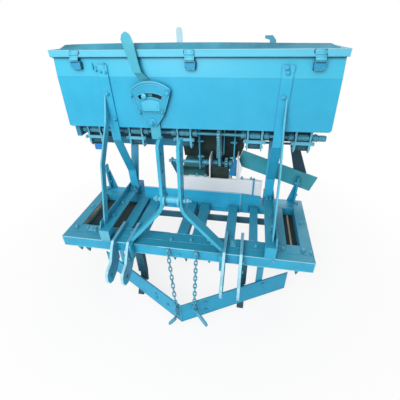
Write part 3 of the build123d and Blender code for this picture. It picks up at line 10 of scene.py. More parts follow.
import bmesh
import bpy
from mathutils import Matrix, Vector


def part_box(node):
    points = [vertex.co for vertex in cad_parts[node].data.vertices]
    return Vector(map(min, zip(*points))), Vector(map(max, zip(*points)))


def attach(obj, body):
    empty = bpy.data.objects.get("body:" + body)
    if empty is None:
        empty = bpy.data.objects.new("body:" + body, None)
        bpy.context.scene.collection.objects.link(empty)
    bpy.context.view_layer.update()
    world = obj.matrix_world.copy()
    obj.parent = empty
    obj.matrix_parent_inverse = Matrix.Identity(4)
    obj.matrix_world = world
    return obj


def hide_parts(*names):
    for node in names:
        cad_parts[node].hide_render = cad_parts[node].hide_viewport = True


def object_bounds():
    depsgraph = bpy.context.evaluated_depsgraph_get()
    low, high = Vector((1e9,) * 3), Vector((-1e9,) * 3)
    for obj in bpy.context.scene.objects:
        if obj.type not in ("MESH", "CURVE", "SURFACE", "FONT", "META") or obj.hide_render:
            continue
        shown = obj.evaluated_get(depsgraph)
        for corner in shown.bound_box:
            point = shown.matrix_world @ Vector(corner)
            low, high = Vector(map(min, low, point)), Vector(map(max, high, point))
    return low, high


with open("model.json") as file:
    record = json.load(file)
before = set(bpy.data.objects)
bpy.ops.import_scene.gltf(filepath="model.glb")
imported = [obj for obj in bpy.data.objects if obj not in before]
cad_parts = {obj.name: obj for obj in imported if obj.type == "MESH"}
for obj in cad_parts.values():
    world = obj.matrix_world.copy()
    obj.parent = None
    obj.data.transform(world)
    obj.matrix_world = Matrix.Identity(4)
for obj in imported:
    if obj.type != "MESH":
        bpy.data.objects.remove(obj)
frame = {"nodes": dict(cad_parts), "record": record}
cad_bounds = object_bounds()

MM = 0.001
beam_low, beam_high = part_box("front_beam")
LAYOUT_ORIGIN = Vector(((beam_low.x + beam_high.x) / 2, beam_low.y, beam_high.z))
GROUND = -500                # the ground below the frame's top
CREASE = 884                 # the crease in the hopper's front and rear walls


def at(x, y, z):
    """A layout place, in metres in the row's frame."""
    return LAYOUT_ORIGIN + Vector((x, y, z)) * MM


# ---------------- camera, light and floor
CAMERA_PLACE = (350.7, -1148.7, 1157.0)
CAMERA_YAW, CAMERA_PITCH, CAMERA_ROLL = 10.765, 34.03, 1.464   # degrees: left, down, clockwise
CAMERA_LENS, CAMERA_SENSOR = 24.54, 36.0


def placed(name, data):
    """A new object in the scene."""
    obj = bpy.data.objects.new(name, data)
    bpy.context.scene.collection.objects.link(obj)
    return obj


def make_camera():
    yaw, pitch, roll = (radians(a) for a in (CAMERA_YAW, CAMERA_PITCH, CAMERA_ROLL))
    forward = Vector((-sin(yaw) * cos(pitch), cos(yaw) * cos(pitch), -sin(pitch)))
    level = Vector((cos(yaw), sin(yaw), 0.0))
    down = forward.cross(level)
    right = level * cos(roll) + down * sin(roll)
    up = level * sin(roll) - down * cos(roll)
    data = bpy.data.cameras.new("camera")
    data.lens, data.sensor_width, data.clip_start = CAMERA_LENS, CAMERA_SENSOR, 0.02
    camera = placed("camera", data)
    turn = Matrix((right, up, -forward)).transposed()
    camera.matrix_world = Matrix.Translation(at(*CAMERA_PLACE)) @ turn.to_4x4()
    bpy.context.scene.camera = camera


def area_light(name, place, target, size, power):
    data = bpy.data.lights.new(name, "AREA")
    data.shape, data.size, data.energy = "DISK", size, power
    start, end = at(*place), at(*target)
    aim = (end - start).to_track_quat("-Z", "Y").to_matrix().to_4x4()
    placed(name, data).matrix_world = Matrix.Translation(start) @ aim


class Tree:
    """The node tree of a material or the world. Inputs are values or (node, output) pairs."""

    def __init__(self, owner):
        owner.use_nodes = True
        self.tree = owner.node_tree
        self.tree.nodes.clear()

    def node(self, kind, inputs=None, **settings):
        made = self.tree.nodes.new("ShaderNode" + kind)
        for key, value in settings.items():
            setattr(made, key, value)
        for key, value in (inputs or {}).items():
            if isinstance(value, tuple) and len(value) == 2 and isinstance(value[0], bpy.types.Node):
                self.tree.links.new(value[0].outputs[value[1]], made.inputs[key])
            else:
                made.inputs[key].default_value = value
        return made

    def maths(self, operation, *values):
        return self.node("Math", dict(enumerate(values)), operation=operation), 0

    def ranged(self, value, low, high, to_low=0.0, to_high=1.0):
        """The value's place between low and high, as one between to_low and to_high."""
        ends = {"From Min": low, "From Max": high, "To Min": to_low, "To Max": to_high}
        return self.node("MapRange", {"Value": value, **ends}), 0

    def mix(self, share, *colors):
        """From the first colour, at a share of 0, to the second."""
        first, second = (c if len(c) == 2 else c + (1.0,) for c in colors)
        return self.node("Mix", {0: share, 6: first, 7: second}, data_type="RGBA"), 2


WHITE = (1.0, 1.0, 1.0, 1.0)
WORLD_LIGHT = 0.30
FLOOR_SHADOW = 0.16          # how much of the floor's own light the camera sees near the machine
FLOOR_SHADOW_FADE = (0.9, 2.0)           # metres from the middle: full, then none


def make_world():
    world = bpy.data.worlds.new("studio")
    bpy.context.scene.world = world
    tree = Tree(world)
    path = tree.node("LightPath")
    seen = tree.maths("MAXIMUM", (path, "Is Camera Ray"), (path, "Is Glossy Ray"))
    lit = tree.node("Background", {"Color": WHITE, "Strength": WORLD_LIGHT})
    white = tree.node("Background", {"Color": WHITE, "Strength": 1.0})
    mix = tree.node("MixShader", {0: seen, 1: (lit, 0), 2: (white, 0)})
    tree.node("OutputWorld", {"Surface": (mix, 0)})


def make_floor():
    bm = bmesh.new()
    bmesh.ops.create_grid(bm, x_segments=8, y_segments=8, size=9.0)
    mesh = bpy.data.meshes.new("floor")
    bm.to_mesh(mesh)
    bm.free()
    floor = placed("floor", mesh)
    floor.location = (0, 0, cad_bounds[0][2] - MM)
    material = bpy.data.materials.new("floor_pale")
    tree = Tree(material)
    noise = tree.node("TexNoise", {"Scale": 2.0, "Detail": 3.0})
    tint = tree.ranged((noise, 0), 0.0, 1.0, 0.90, 0.94)
    matte = tree.node("BsdfDiffuse", {"Color": tint})
    glow = tree.node("Emission", {"Color": WHITE, "Strength": 1.0})
    path = tree.node("LightPath")
    place = tree.node("TexCoord")
    reach = tree.node("VectorMath", {0: (place, "Object")}, operation="LENGTH")
    glowing = tree.ranged((reach, "Value"), *FLOOR_SHADOW_FADE, 1.0 - FLOOR_SHADOW)
    share = tree.maths("MULTIPLY", (path, "Is Camera Ray"), glowing)
    mix = tree.node("MixShader", {0: share, 1: (matte, 0), 2: (glow, 0)})
    tree.node("OutputMaterial", {"Surface": (mix, 0)})
    mesh.materials.append(material)


make_camera()
make_world()
make_floor()
area_light("key", (-700, -2600, 2300), (0, 300, 300), 2.6, 104)
area_light("top", (300, 700, 3200), (0, 350, 300), 3, 12)
area_light("rear", (900, 3600, 2000), (0, 600, 400), 3, 45)
bpy.context.scene.view_settings.view_transform = "Standard"


# ---------------- materials
MATERIALS = {}
# the light edge colour is partly wear and partly a painted highlight
EDGE_WEAR_HIGHLIGHT_COLOR, RUST_COLOR = (0.42, 0.74, 0.85), (0.17, 0.075, 0.03)
EDGE_ROUNDING = 0.0025           # metres that the wear and the painted edge highlight reach in from an edge
HOLLOW_REACH = 0.045         # metres within which something near makes a hollow, painted darker as shade
PEEL_DEPTH = 0.0006          # metres, of the orange peel


def paint(name, color, rough=0.38, dust_and_top_shade=0.1, wear_and_highlight=0.5, mottle=0.10, rust=0.0, dust_and_top_shade_color=(0.42, 0.47, 0.50),
          coat=0.0, metallic=0.0, bump=0.12, noise_scale=7.0, hollow_shade=0.65, split=None):
    """Painted or bare metal: colour drift, dust on what faces up (a dust colour darker than the paint is painted shade
    on the tops), painted shade in hollows and on undersides, worn edges in a light colour that is also a painted
    highlight, rust freckles, slight orange peel. split is (axis, level in metres, the colour past it)."""
    material = MATERIALS[name] = bpy.data.materials.new(name)
    tree = Tree(material)
    place = tree.node("TexCoord")
    geometry = tree.node("NewGeometry")
    where, normal = (place, "Object"), (geometry, "Normal")

    def noise(scale, detail, roughness=0.5):
        return tree.node("TexNoise", {"Vector": where, "Scale": scale, "Detail": detail, "Roughness": roughness}), 0

    drift, fine, peel = noise(noise_scale, 5.0, 0.6), noise(90.0, 4.0, 0.7), noise(420.0, 2.0)
    dark = tuple(c * (1.0 - mottle * 1.6) for c in color)
    light = tuple(min(1.0, c * (1.0 + mottle) + mottle * 0.02) for c in color)
    shown = tree.mix(tree.ranged(drift, 0.3, 0.7), dark, light)
    if split:
        axis, level, other = split
        parts = tree.node("SeparateXYZ", {0: where})
        shown = tree.mix(tree.maths("GREATER_THAN", (parts, axis), level), shown, other)
    # dust lies on faces that look up, in patches; a dust colour darker than the paint is painted shade on the tops
    facing = tree.node("SeparateXYZ", {0: normal}), 2
    upward_dust_and_shade = tree.ranged(facing, 0.35, 1.0, 0.0, dust_and_top_shade)
    patch = tree.ranged(drift, 0.35, 0.65, 0.65, 1.15)
    shown = tree.mix(tree.maths("MULTIPLY", upward_dust_and_shade, patch), shown, dust_and_top_shade_color)
    # worn edges and painted edge highlights: where the rounded normal leaves the face's own
    rounded = tree.node("Bevel", {"Radius": EDGE_ROUNDING}, samples=4)
    dot = tree.node("VectorMath", {0: (rounded, 0), 1: normal}, operation="DOT_PRODUCT")
    edge = tree.ranged((dot, "Value"), 0.995, 0.90, 0.0, wear_and_highlight)
    broken = tree.ranged(fine, 0.42, 0.62)
    shown = tree.mix(tree.maths("MULTIPLY", edge, broken), shown, EDGE_WEAR_HIGHLIGHT_COLOR)
    # painted shade: darker in hollows and on undersides
    sky = tree.node("AmbientOcclusion", {"Distance": HOLLOW_REACH}, samples=4)
    hollow_shade_mask = tree.ranged((sky, "AO"), 0.85, 0.25, 0.0, hollow_shade)
    under = tree.ranged(facing, -0.10, -0.60, 0.0, hollow_shade * 0.8)
    shown = tree.mix(tree.maths("MAXIMUM", hollow_shade_mask, under), shown, tuple(c * 0.16 for c in color))
    rusty = tree.ranged(noise(16.0, 6.0, 0.75), 0.62, 0.74, 0.0, rust)
    shown = tree.mix(rusty, shown, RUST_COLOR)
    roughness = tree.ranged(drift, 0.3, 0.7, rough * 0.85, min(1.0, rough * 1.25))
    height = tree.maths("ADD", peel, fine)
    relief = tree.node("Bump", {"Height": height, "Normal": (rounded, 0), "Strength": bump, "Distance": PEEL_DEPTH})
    surface = tree.node("BsdfPrincipled", {
        "Base Color": shown, "Roughness": roughness, "Normal": (relief, 0), "Metallic": metallic,
        "Coat Weight": coat, "Coat Roughness": 0.25})
    tree.node("OutputMaterial", {"Surface": (surface, 0)})


# the lid top's tint: dust, and painted shade on the tops
LID_TOP_DUST_AND_SHADE = (0.006, 0.19, 0.285)
# where a dust colour below is a darker tint of its paint, it is painted shade on the tops
paint("frame_blue", (0.024, 0.43, 0.68), dust_and_top_shade=0.65, dust_and_top_shade_color=(0.018, 0.21, 0.29), wear_and_highlight=0.7)
# a lighter copy of the frame's blue: painted light
paint("frame_painted_lit", (0.03, 0.51, 0.82), dust_and_top_shade=0.4, dust_and_top_shade_color=(0.02, 0.24, 0.33), wear_and_highlight=0.7)
paint("mast_blue", (0.034, 0.46, 0.68), dust_and_top_shade=0.4, dust_and_top_shade_color=(0.02, 0.24, 0.33), wear_and_highlight=0.9)
paint("hitch_light", (0.085, 0.46, 0.66), dust_and_top_shade=0.2, mottle=0.18, wear_and_highlight=1.0, rust=0.15)
paint("lever_blue", (0.065, 0.47, 0.62), rough=0.35, mottle=0.08)
# a paler copy of the frame's blue: painted highlight
paint("frame_painted_highlight", (0.085, 0.52, 0.72), dust_and_top_shade=0.3, dust_and_top_shade_color=(0.08, 0.33, 0.42), mottle=0.12, wear_and_highlight=0.9)
paint("unit_light", (0.13, 0.56, 0.74), wear_and_highlight=0.8, hollow_shade=0.4)
paint("dark_blue", (0.016, 0.13, 0.19), rough=0.5, dust_and_top_shade=0.2, rust=0.3, mottle=0.25)
paint("deep_shadow", (0.004, 0.026, 0.034), rough=0.8, dust_and_top_shade=0.0, wear_and_highlight=0.1, mottle=0.3)
# a darker copy of the hopper's blue: painted shade
paint("sector_face_shaded", (0.034, 0.43, 0.67), rough=0.34, mottle=0.05, wear_and_highlight=0.4)
paint("shadow_blue", (0.008, 0.05, 0.08), rough=0.6, wear_and_highlight=0.1)
# lighter above the crease: painted light on the upper band, which catches more light
paint("hopper_blue", (0.032, 0.47, 0.74), rough=0.32, dust_and_top_shade=0.15, mottle=0.04, coat=0.15, wear_and_highlight=0.25, hollow_shade=0.5,
      split=(2, at(0, 0, CREASE)[2], (0.052, 0.53, 0.765)))
# a lighter copy of the hopper's blue for raised parts: painted light
paint("hopper_painted_lit", (0.075, 0.56, 0.8), rough=0.36, dust_and_top_shade=0.15, mottle=0.05, coat=0.1)
# the lid's top painted darker: dust and painted shade
paint("lid_blue", (0.12, 0.58, 0.8), rough=0.55, dust_and_top_shade=1.0, mottle=0.04, wear_and_highlight=0.2, noise_scale=4.0, dust_and_top_shade_color=LID_TOP_DUST_AND_SHADE)
# painted highlight on the lid's rolled fold
paint("lid_painted_highlight", (0.36, 0.78, 0.92), rough=0.35, dust_and_top_shade=0.2, mottle=0.05, wear_and_highlight=0.2)
# a light edge colour: painted highlight
paint("edge_painted_highlight", (0.34, 0.74, 0.9), rough=0.35, hollow_shade=0.2)
paint("pale_paint", (0.93, 0.95, 0.98), rough=0.45, mottle=0.03, wear_and_highlight=0.1, hollow_shade=0.3)
paint("lever_paint", (0.55, 0.8, 0.86), rough=0.45, mottle=0.03, wear_and_highlight=0.1, split=(0, 0.1, (0.09, 0.37, 0.5)))
paint("cup_blue", (0.012, 0.27, 0.78), rough=0.28, dust_and_top_shade=0.05, coat=0.3)
paint("guard_blue", (0.018, 0.26, 0.54), rough=0.35)
paint("teal_blue", (0.045, 0.37, 0.46), rough=0.42, dust_and_top_shade=0.3, dust_and_top_shade_color=(0.06, 0.22, 0.26))
paint("olive_shade", (0.014, 0.036, 0.03), rough=0.75, dust_and_top_shade=0.0, wear_and_highlight=0.1, mottle=0.5, rust=0.35, noise_scale=16.0)
paint("straw", (0.6, 0.47, 0.28), rough=0.85, wear_and_highlight=0.0, mottle=0.3, rust=0.6, bump=0.5)
paint("housing_blue", (0.03, 0.26, 0.4), rough=0.5, dust_and_top_shade=0.15)
paint("shaft_blue", (0.08, 0.43, 0.59), rough=0.4, dust_and_top_shade=0.0, wear_and_highlight=0.7)
paint("steel", (0.5, 0.52, 0.54), rough=0.32, metallic=1.0, wear_and_highlight=0.2, rust=0.3)
paint("chain_steel", (0.2, 0.52, 0.66), rough=0.45, metallic=0.1, rust=0.3, hollow_shade=0.5)
paint("chain_light", (0.17, 0.6, 0.74), rough=0.4, rust=0.15, hollow_shade=0.3)
# dark colour for painted shade in gaps and painted shadows round parts
paint("gap_painted_shade", (0.004, 0.12, 0.19), rough=0.7, dust_and_top_shade=0.0, wear_and_highlight=0.0, mottle=0.2)
paint("pocket_blue", (0.022, 0.33, 0.56), rough=0.34, mottle=0.05, wear_and_highlight=0.8)
paint("board_blue", (0.006, 0.42, 0.69), dust_and_top_shade=0.3, dust_and_top_shade_color=(0.018, 0.21, 0.29), wear_and_highlight=0.4)
paint("chain_blue", (0.05, 0.38, 0.55), rough=0.4, dust_and_top_shade=0.15, wear_and_highlight=0.9, rust=0.1, hollow_shade=0.5)
paint("wheel_paint", (0.03, 0.17, 0.18), rough=0.6, dust_and_top_shade=0.3, wear_and_highlight=0.3, rust=0.3, mottle=0.3,
      dust_and_top_shade_color=(0.03, 0.2, 0.21))
SLOTS = {part["node"]: part["material_slot"] for part in frame["record"]["subparts"]}
LOOKS = {"mast": "mast_blue", "box_straps": "hopper_blue", "mast_spacer": "frame_painted_highlight", "counter_shaft": "shaft_blue",
         "rear_stay": "shadow_blue", "metering_rear": "housing_blue", "rear_rail": "housing_blue",
         "hitch_plates": "hitch_light", "rear_channel": "frame_painted_lit", "rear_beam": "frame_painted_lit",
         "v_board": "board_blue", "rate_lever": "lever_blue", "strap_braces": "frame_painted_highlight",
         "rate_sector": "sector_face_shaded", "rear_board": "teal_blue", "rear_levers": "lever_paint"}
for name, obj in frame["nodes"].items():
    obj.data.materials.clear()
    obj.data.materials.append(MATERIALS[LOOKS.get(name, SLOTS[name])])


# ---------------- mesh builder
LEFT, RIGHT, FRONT, UP, DOWN = (-1, 0, 0), (1, 0, 0), (0, -1, 0), (0, 0, 1), (0, 0, -1)
SHARP_ANGLE, BEVEL_ANGLE = 35, 40        # degrees between faces: shaded sharp, rounded


class Build:
    """Collects geometry in layout millimetres and turns it into one object of the row."""

    def __init__(self):
        self.bm = bmesh.new()

    def add(self, points, faces, smooth=False):
        verts = [self.bm.verts.new(at(*p)) for p in points]
        for corners in faces:
            self.bm.faces.new([verts[i] for i in corners]).smooth = smooth

    def prism(self, outline, axis, low, high):
        """A flat shape (in the other two axes, in order) pushed along X, Y or Z."""
        n, k = len(outline), "XYZ".index(axis)
        points = [p[:k] + (v,) + p[k:] for v in (low, high) for p in outline]
        sides = [(i, (i + 1) % n, n + (i + 1) % n, n + i) for i in range(n)]
        self.add(points, [tuple(range(n))[::-1], tuple(range(n, 2 * n))] + sides)

    def box(self, x0, x1, y0, y1, z0, z1):
        self.prism([(x0, y0), (x1, y0), (x1, y1), (x0, y1)], "Z", z0, z1)

    def rings(self, rings, closed=False):
        """A skin over rings of points; the rings have the same number of points."""
        n, count = len(rings[0]), len(rings)
        faces = []
        for i in range(count if closed else count - 1):
            a, b = i * n, (i + 1) % count * n
            faces += [(a + j, a + (j + 1) % n, b + (j + 1) % n, b + j) for j in range(n)]
        if not closed:
            faces += [tuple(range(n))[::-1], tuple(range((count - 1) * n, count * n))]
        self.add([p for ring in rings for p in ring], faces, smooth=True)

    def turned(self, start, direction, profile, sides=24, phase=0.0):
        """A solid of revolution: profile is (distance along, radius) pairs."""
        axis = Vector(direction).normalized()
        across = axis.orthogonal().normalized()
        other = axis.cross(across)
        turns = [2 * pi * i / sides + phase for i in range(sides)]
        self.rings([[tuple(Vector(start) + axis * distance + (across * cos(a) + other * sin(a)) * radius)
                     for a in turns] for distance, radius in profile])

    def bolt(self, place, direction, across=15, head=8, washer=True, stud=0):
        """A hexagon head standing on a face, on its washer, with an optional threaded end past it."""
        turn = random.random() * pi / 3
        radius = across / sqrt(3)
        base = 0
        if washer:
            self.turned(place, direction, [(0, across * 0.62), (1.8, across * 0.62), (2.2, across * 0.58)], 18)
            base = 2
        self.turned(place, direction, [(base, radius * 0.97), (base + 0.8, radius), (base + head - 1.6, radius),
                                       (base + head - 0.5, radius * 0.90), (base + head, radius * 0.72)], 6, turn)
        if stud:
            steps = max(2, int(stud / 1.6))
            self.turned(place, direction, [(base + head + stud * i / steps, across * (0.29 if i % 2 else 0.32))
                                           for i in range(steps + 1)], 12)

    def tube(self, path, radius, sides=8, closed=False):
        """A round section swept along a path; radius is a number, or a list with one for each point."""
        points = [Vector(p) for p in path]
        count = len(points)
        radii = radius if isinstance(radius, list) else [radius] * count
        rings, normal = [], None
        for i, p in enumerate(points):
            before = points[(i - 1) % count] if closed or i else p
            after = points[(i + 1) % count] if closed or i < count - 1 else p
            heading = (after - before).normalized()
            if normal is None:
                normal = heading.orthogonal().normalized()
            normal = (normal - heading * normal.dot(heading)).normalized()
            side = heading.cross(normal)
            rings.append([tuple(p + (normal * cos(a) + side * sin(a)) * radii[i])
                          for a in (2 * pi * k / sides for k in range(sides))])
        self.rings(rings, closed)

    def bar(self, x0, x1, y, z, radius, sides=8):
        """A tube along X."""
        self.tube([(x0, y, z), (x1, y, z)], radius, sides)

    def weld(self, start, end, radius=3, step=5):
        """A weld bead: a rod that swells with each pass of the electrode."""
        a, b = Vector(start), Vector(end)
        count = max(3, int((b - a).length / step) * 2)
        radii = [radius * (0.85 + 0.25 * (i % 2) + 0.12 * random.random()) for i in range(count + 1)]
        radii[0] = radii[-1] = radius * 0.4
        self.tube([a.lerp(b, i / count) for i in range(count + 1)], radii, sides=7)

    def finish(self, name, material, body="frame", slot="frame_blue", replaces=(), bevel=0):
        bmesh.ops.recalc_face_normals(self.bm, faces=self.bm.faces)
        mesh = bpy.data.meshes.new(name)
        self.bm.to_mesh(mesh)
        self.bm.free()
        obj = placed(name, mesh)
        mesh.materials.append(MATERIALS[material])
        mesh.shade_smooth()
        mesh.set_sharp_from_angle(angle=radians(SHARP_ANGLE))
        if bevel:
            rounding = obj.modifiers.new("rounding", "BEVEL")
            rounding.width, rounding.segments = bevel * MM, 2
            rounding.limit_method, rounding.angle_limit = "ANGLE", radians(BEVEL_ANGLE)
            rounding.harden_normals = True
        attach(obj, body)
        if replaces:
            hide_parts(*replaces)


def arc(center, radius, start, end, count):
    """Points of an arc about (a, b), angles in degrees from the second axis towards the first."""
    turns = [radians(start + (end - start) * i / (count - 1)) for i in range(count)]
    return [(center[0] + radius * sin(a), center[1] + radius * cos(a)) for a in turns]


def around(x, y, z, radius, count):
    """Points of a circle about a line along X."""
    turns = [2 * pi * i / count for i in range(count)]
    return [(x, y + radius * cos(a), z + radius * sin(a)) for a in turns]


random.seed(7)

# ---------------- latches
HOPPER_FRONT, HOPPER_REAR = 400, 822
LATCHES = (              # X of the hasp's head and foot, X of its pocket
    (-618, -632, -627), (20, 22, 23), (657, 668, 667))
LATCH_WIDTH, HASP_DROP = 50, 17
RIM_FRONT, RIM_BOTTOM, RIM_TOP = 388, 983, 1018
POCKET_TOP, POCKET_BOTTOM, POCKET_FRONT = 963, 924, 380
POCKET_LEANS = ((3, 1.5), (1, -2), (-1, -5))         # how far the foot's left and right corners lean


def hasps():
    """Pressed hasps: shallow folds down the front and a hem at the foot, and a painted shadow round them."""
    build, hasp_shadow = Build(), Build()
    top, foot, half = RIM_TOP - 3, RIM_BOTTOM - HASP_DROP, LATCH_WIDTH / 2
    # across: flat sides with a raised middle rib
    section = [(-half, 0), (-half + 7, 0), (-half + 10, 1.6), (half - 10, 1.6), (half - 7, 0), (half, 0)]
    # down: height, how far it stands off the rim, and the share of its width
    drop = [(top, 0.6, 0.92), (top - 4, 1.6, 1), (top - 13, 1.6, 1), (top - 15, 4.6, 1), (top - 22, 4.6, 1),
            (top - 24, 1.8, 1), (RIM_BOTTOM + 2, 2, 1), (RIM_BOTTOM - 3, 4.4, 1), (foot + 8, 5, 1),
            (foot + 3, 5.6, 0.98), (foot, 4.6, 0.94)]
    for head, sole, _ in LATCHES:
        rings = []
        for z, off, share in drop:
            x = head + (sole - head) * (top - z) / (top - foot)
            back = RIM_FRONT - (0 if z > RIM_BOTTOM else 1)
            rings.append([(x + sx * share, RIM_FRONT - off - lift, z) for sx, lift in section]
                         + [(x + sx * share, back, z) for sx, _ in section[::-1]])
        build.rings(rings)
        # the pressed ridges that cross it
        x = (head + sole) / 2
        for z in (top - 18, RIM_BOTTOM - 1):
            build.bar(x - half + 3, x + half - 3, RIM_FRONT - 4.4, z, 2.4)
        for side in (-1, 1):
            build.bolt((x + side * 14, RIM_FRONT - 2.8, top - 8), FRONT, across=6, head=1.6, washer=False)
        # a dark sheet just larger than the hasp, behind it: painted shadow
        x = head + (sole - head) * 0.7
        hasp_shadow.prism([(head - half - 3, top + 1.5), (head + half + 3.5, top + 1.5), (head + half + 4.5, top - 14),
                    (x + half + 2.5, top - 20), (x + half + 2.5, RIM_BOTTOM + 1), (x - half - 1, RIM_BOTTOM + 1),
                    (x - half - 1, top - 20), (head - half - 4.5, top - 14)], "Y", RIM_FRONT - 0.9, RIM_FRONT + 0.5)
    build.finish("lid_hasp_pressings", "hopper_painted_lit", "lid", "hopper_blue", replaces=("lid_hasps",), bevel=0.6)
    hasp_shadow.finish("lid_hasp_shadow", "gap_painted_shade", "lid", "hopper_blue")


def pockets():
    """Folded pockets that take the hasps: a box with an open top, a rolled lip and a lean of its own."""
    build, shade = Build(), Build()
    face, top, foot, half = POCKET_FRONT, POCKET_TOP, POCKET_BOTTOM, LATCH_WIDTH / 2 + 2
    for (_, _, x), (lean_left, lean_right) in zip(LATCHES, POCKET_LEANS):
        left, right = x - half, x + half
        outer = [(left + 2, top), (right, top), (right + 2, top - 6), (right + 1 + lean_right, foot + 4),
                 (right - 2 + lean_right, foot), (left + 5 + lean_left, foot), (left + 3 + lean_left, foot + 4)]
        build.prism(outer, "Y", face, HOPPER_FRONT + 5)
        # lip along the top and a raised rib round the front
        build.bar(left + 2, right, face, top + 0.5, 2.4)
        build.tube([(px, face, pz) for px, pz in outer], 1.8, sides=6, closed=True)
        for edge in (left + 1, right - 1):
            build.box(edge - 1.5, edge + 1.5, face - 1, HOPPER_FRONT + 3, foot + 8, top + 2)
        # painted shade in its open mouth, and a painted shadow round it
        shade.box(left + 5, right - 4, face + 3, HOPPER_FRONT - 2, top - 3, top + 1)
        shade.box(left + 4, right - 2, face - 0.8, face + 2, top - 7, top - 3)
        shade.prism([(x + (px - x) * 1.15, foot + (pz - foot) * 1.02 - 3.5) for px, pz in outer], "Y",
                    HOPPER_FRONT - 2.5, HOPPER_FRONT + 4)
    build.finish("latch_pocket_pressings", "pocket_blue", slot="hopper_blue", replaces=("latch_pockets",), bevel=1.2)
    shade.finish("latch_pocket_shadows", "gap_painted_shade", slot="hopper_blue")


# ---------------- lid and hopper trim
LID_LEFT, LID_RIGHT, LID_REAR = -776, 794, 838
LID_SLOPE = 16 / 450         # the lid's fall from front to rear


def lid_trim():
    """A soft fold along the rim's top and ends in a light colour, a painted highlight; a hem along its foot; and a
    dark strip of painted shade under the rim.
    """
    fold, hem, rim_shade = Build(), Build(), Build()
    fold.bar(LID_LEFT + 2, LID_RIGHT - 2, RIM_FRONT + 1.4, RIM_TOP - 2, 2.2)
    for x in (LID_LEFT + 1, LID_RIGHT - 1):
        fold.tube([(x, RIM_FRONT + 1.5, RIM_BOTTOM + 2), (x, RIM_FRONT + 1.5, RIM_TOP - 3)], 2)
        fold.tube([(x, RIM_FRONT + 3, RIM_BOTTOM + 2), (x, LID_REAR - 3, RIM_BOTTOM - 14)], 2)
    fold.finish("lid_fold", "lid_painted_highlight", "lid", "lid_blue")
    hem.bar(LID_LEFT + 2, LID_RIGHT - 2, RIM_FRONT + 1, RIM_BOTTOM + 2, 2)
    hem.finish("lid_hem", "lid_blue", "lid", "lid_blue")
    rim_shade.box(-764, 781, RIM_FRONT + 4, HOPPER_FRONT + 12, RIM_BOTTOM - 4, RIM_BOTTOM - 1)
    rim_shade.finish("lid_rim_shade", "gap_painted_shade", slot="hopper_blue")


def lid_crown():
    """The lid's crown, fuller than the folded sheet in its left and middle parts."""
    def skin(x, lift, rise):
        """Heights above the lid's own slope: lift raises the fold, rise is the crown's own height."""
        profile = [(404, -2.5), (408.5, 0.3), (446, rise * 19.3 + lift), (530, rise * 15.3 + lift),
                   (640, rise * 10.6 + lift * 0.9), (740, rise * 6.4 + lift * 0.7), (800, rise * 3.8 + lift * 0.3),
                   (817.5, rise * 1.5 + 0.5), (818.5, -2.5)]
        return [(x, y, RIM_TOP + up - LID_SLOPE * (y - RIM_FRONT)) for y, up in profile]

    build = Build()
    build.rings([skin(*row) for row in (
        (-724, 0, 0), (-698, 3, 1), (-650, 5, 1), (-540, 7, 1), (-330, 9, 1), (-60, 9.5, 1), (160, 8.5, 1),
        (360, 5.5, 1), (540, 2.2, 1), (706, 0.3, 1), (752, 0, 0))])
    build.finish("lid_crown", "lid_blue", "lid", "lid_blue")


def hopper_trim():
    """The sheet box's folded corners, crease and foot, the strap and leg bolts, and ribs on its end and rear walls."""
    folds, bolts, ribs = Build(), Build(), Build()
    for x_low, z_low, x_high, z_high in ((-777.2, 596, -765, 980), (797, 617, 783, 980)):
        x_crease = x_low + (x_high - x_low) * (CREASE - z_low) / (z_high - z_low)
        folds.tube([(x_low, HOPPER_FRONT + 2, z_low), (x_crease, HOPPER_FRONT + 2, CREASE),
                    (x_high, HOPPER_FRONT + 10, z_high)], 3.2)
    folds.bar(-768, 786, HOPPER_FRONT + 0.8, CREASE, 1.3, sides=6)
    folds.tube([(-766, HOPPER_FRONT + 1.2, 591), (783, HOPPER_FRONT + 1.2, 610)], 1.6, sides=6)
    folds.finish("hopper_folds", "hopper_blue", slot="hopper_blue")
    for x, y, z, across in ((-516, 405.5, 920, 19), (-489, 404, 909, 21), (-459, 402, 906, 17), (-473, 392, 793, 19),
                            (-455, 392, 646, 19), (517, 396, 934, 20), (524, 396, 912, 20), (519, 392, 792, 18)):
        bolts.bolt((x, y, z), FRONT, across=across * 1.1, head=9, stud=6)
    # small lugs pressed out beside the two strap heads
    for lug in ((-538, -532, 396, 405, 920, 950), (-468, -462, 394, 404, 926, 952), (549, 556, 394, 404, 914, 944),
                (492, 497, 396, 404, 914, 940)):
        bolts.box(*lug)
    bolts.finish("hopper_bolts", "frame_painted_lit", slot="hopper_blue", bevel=0.8)
    for side, x_low, x_high in ((-1, -779, -768), (1, 797, 787)):
        for y in (HOPPER_FRONT + 90, HOPPER_FRONT + 230):
            ribs.tube([(x_low - side * 1.5, y, 640), (x_high - side, y + 20, 940)], 3)
    ribs.bar(-772, 790, HOPPER_REAR + 1, CREASE, 2.2, sides=6)
    ribs.finish("hopper_ribs", "hopper_blue", slot="hopper_blue")


# ---------------- rate lever and its sector
PIVOT_X, PIVOT_Z = -211, 640
SECTOR_FRONT = 374
SLOT_RADIUS, SLOT_HALF = 154, 13.5


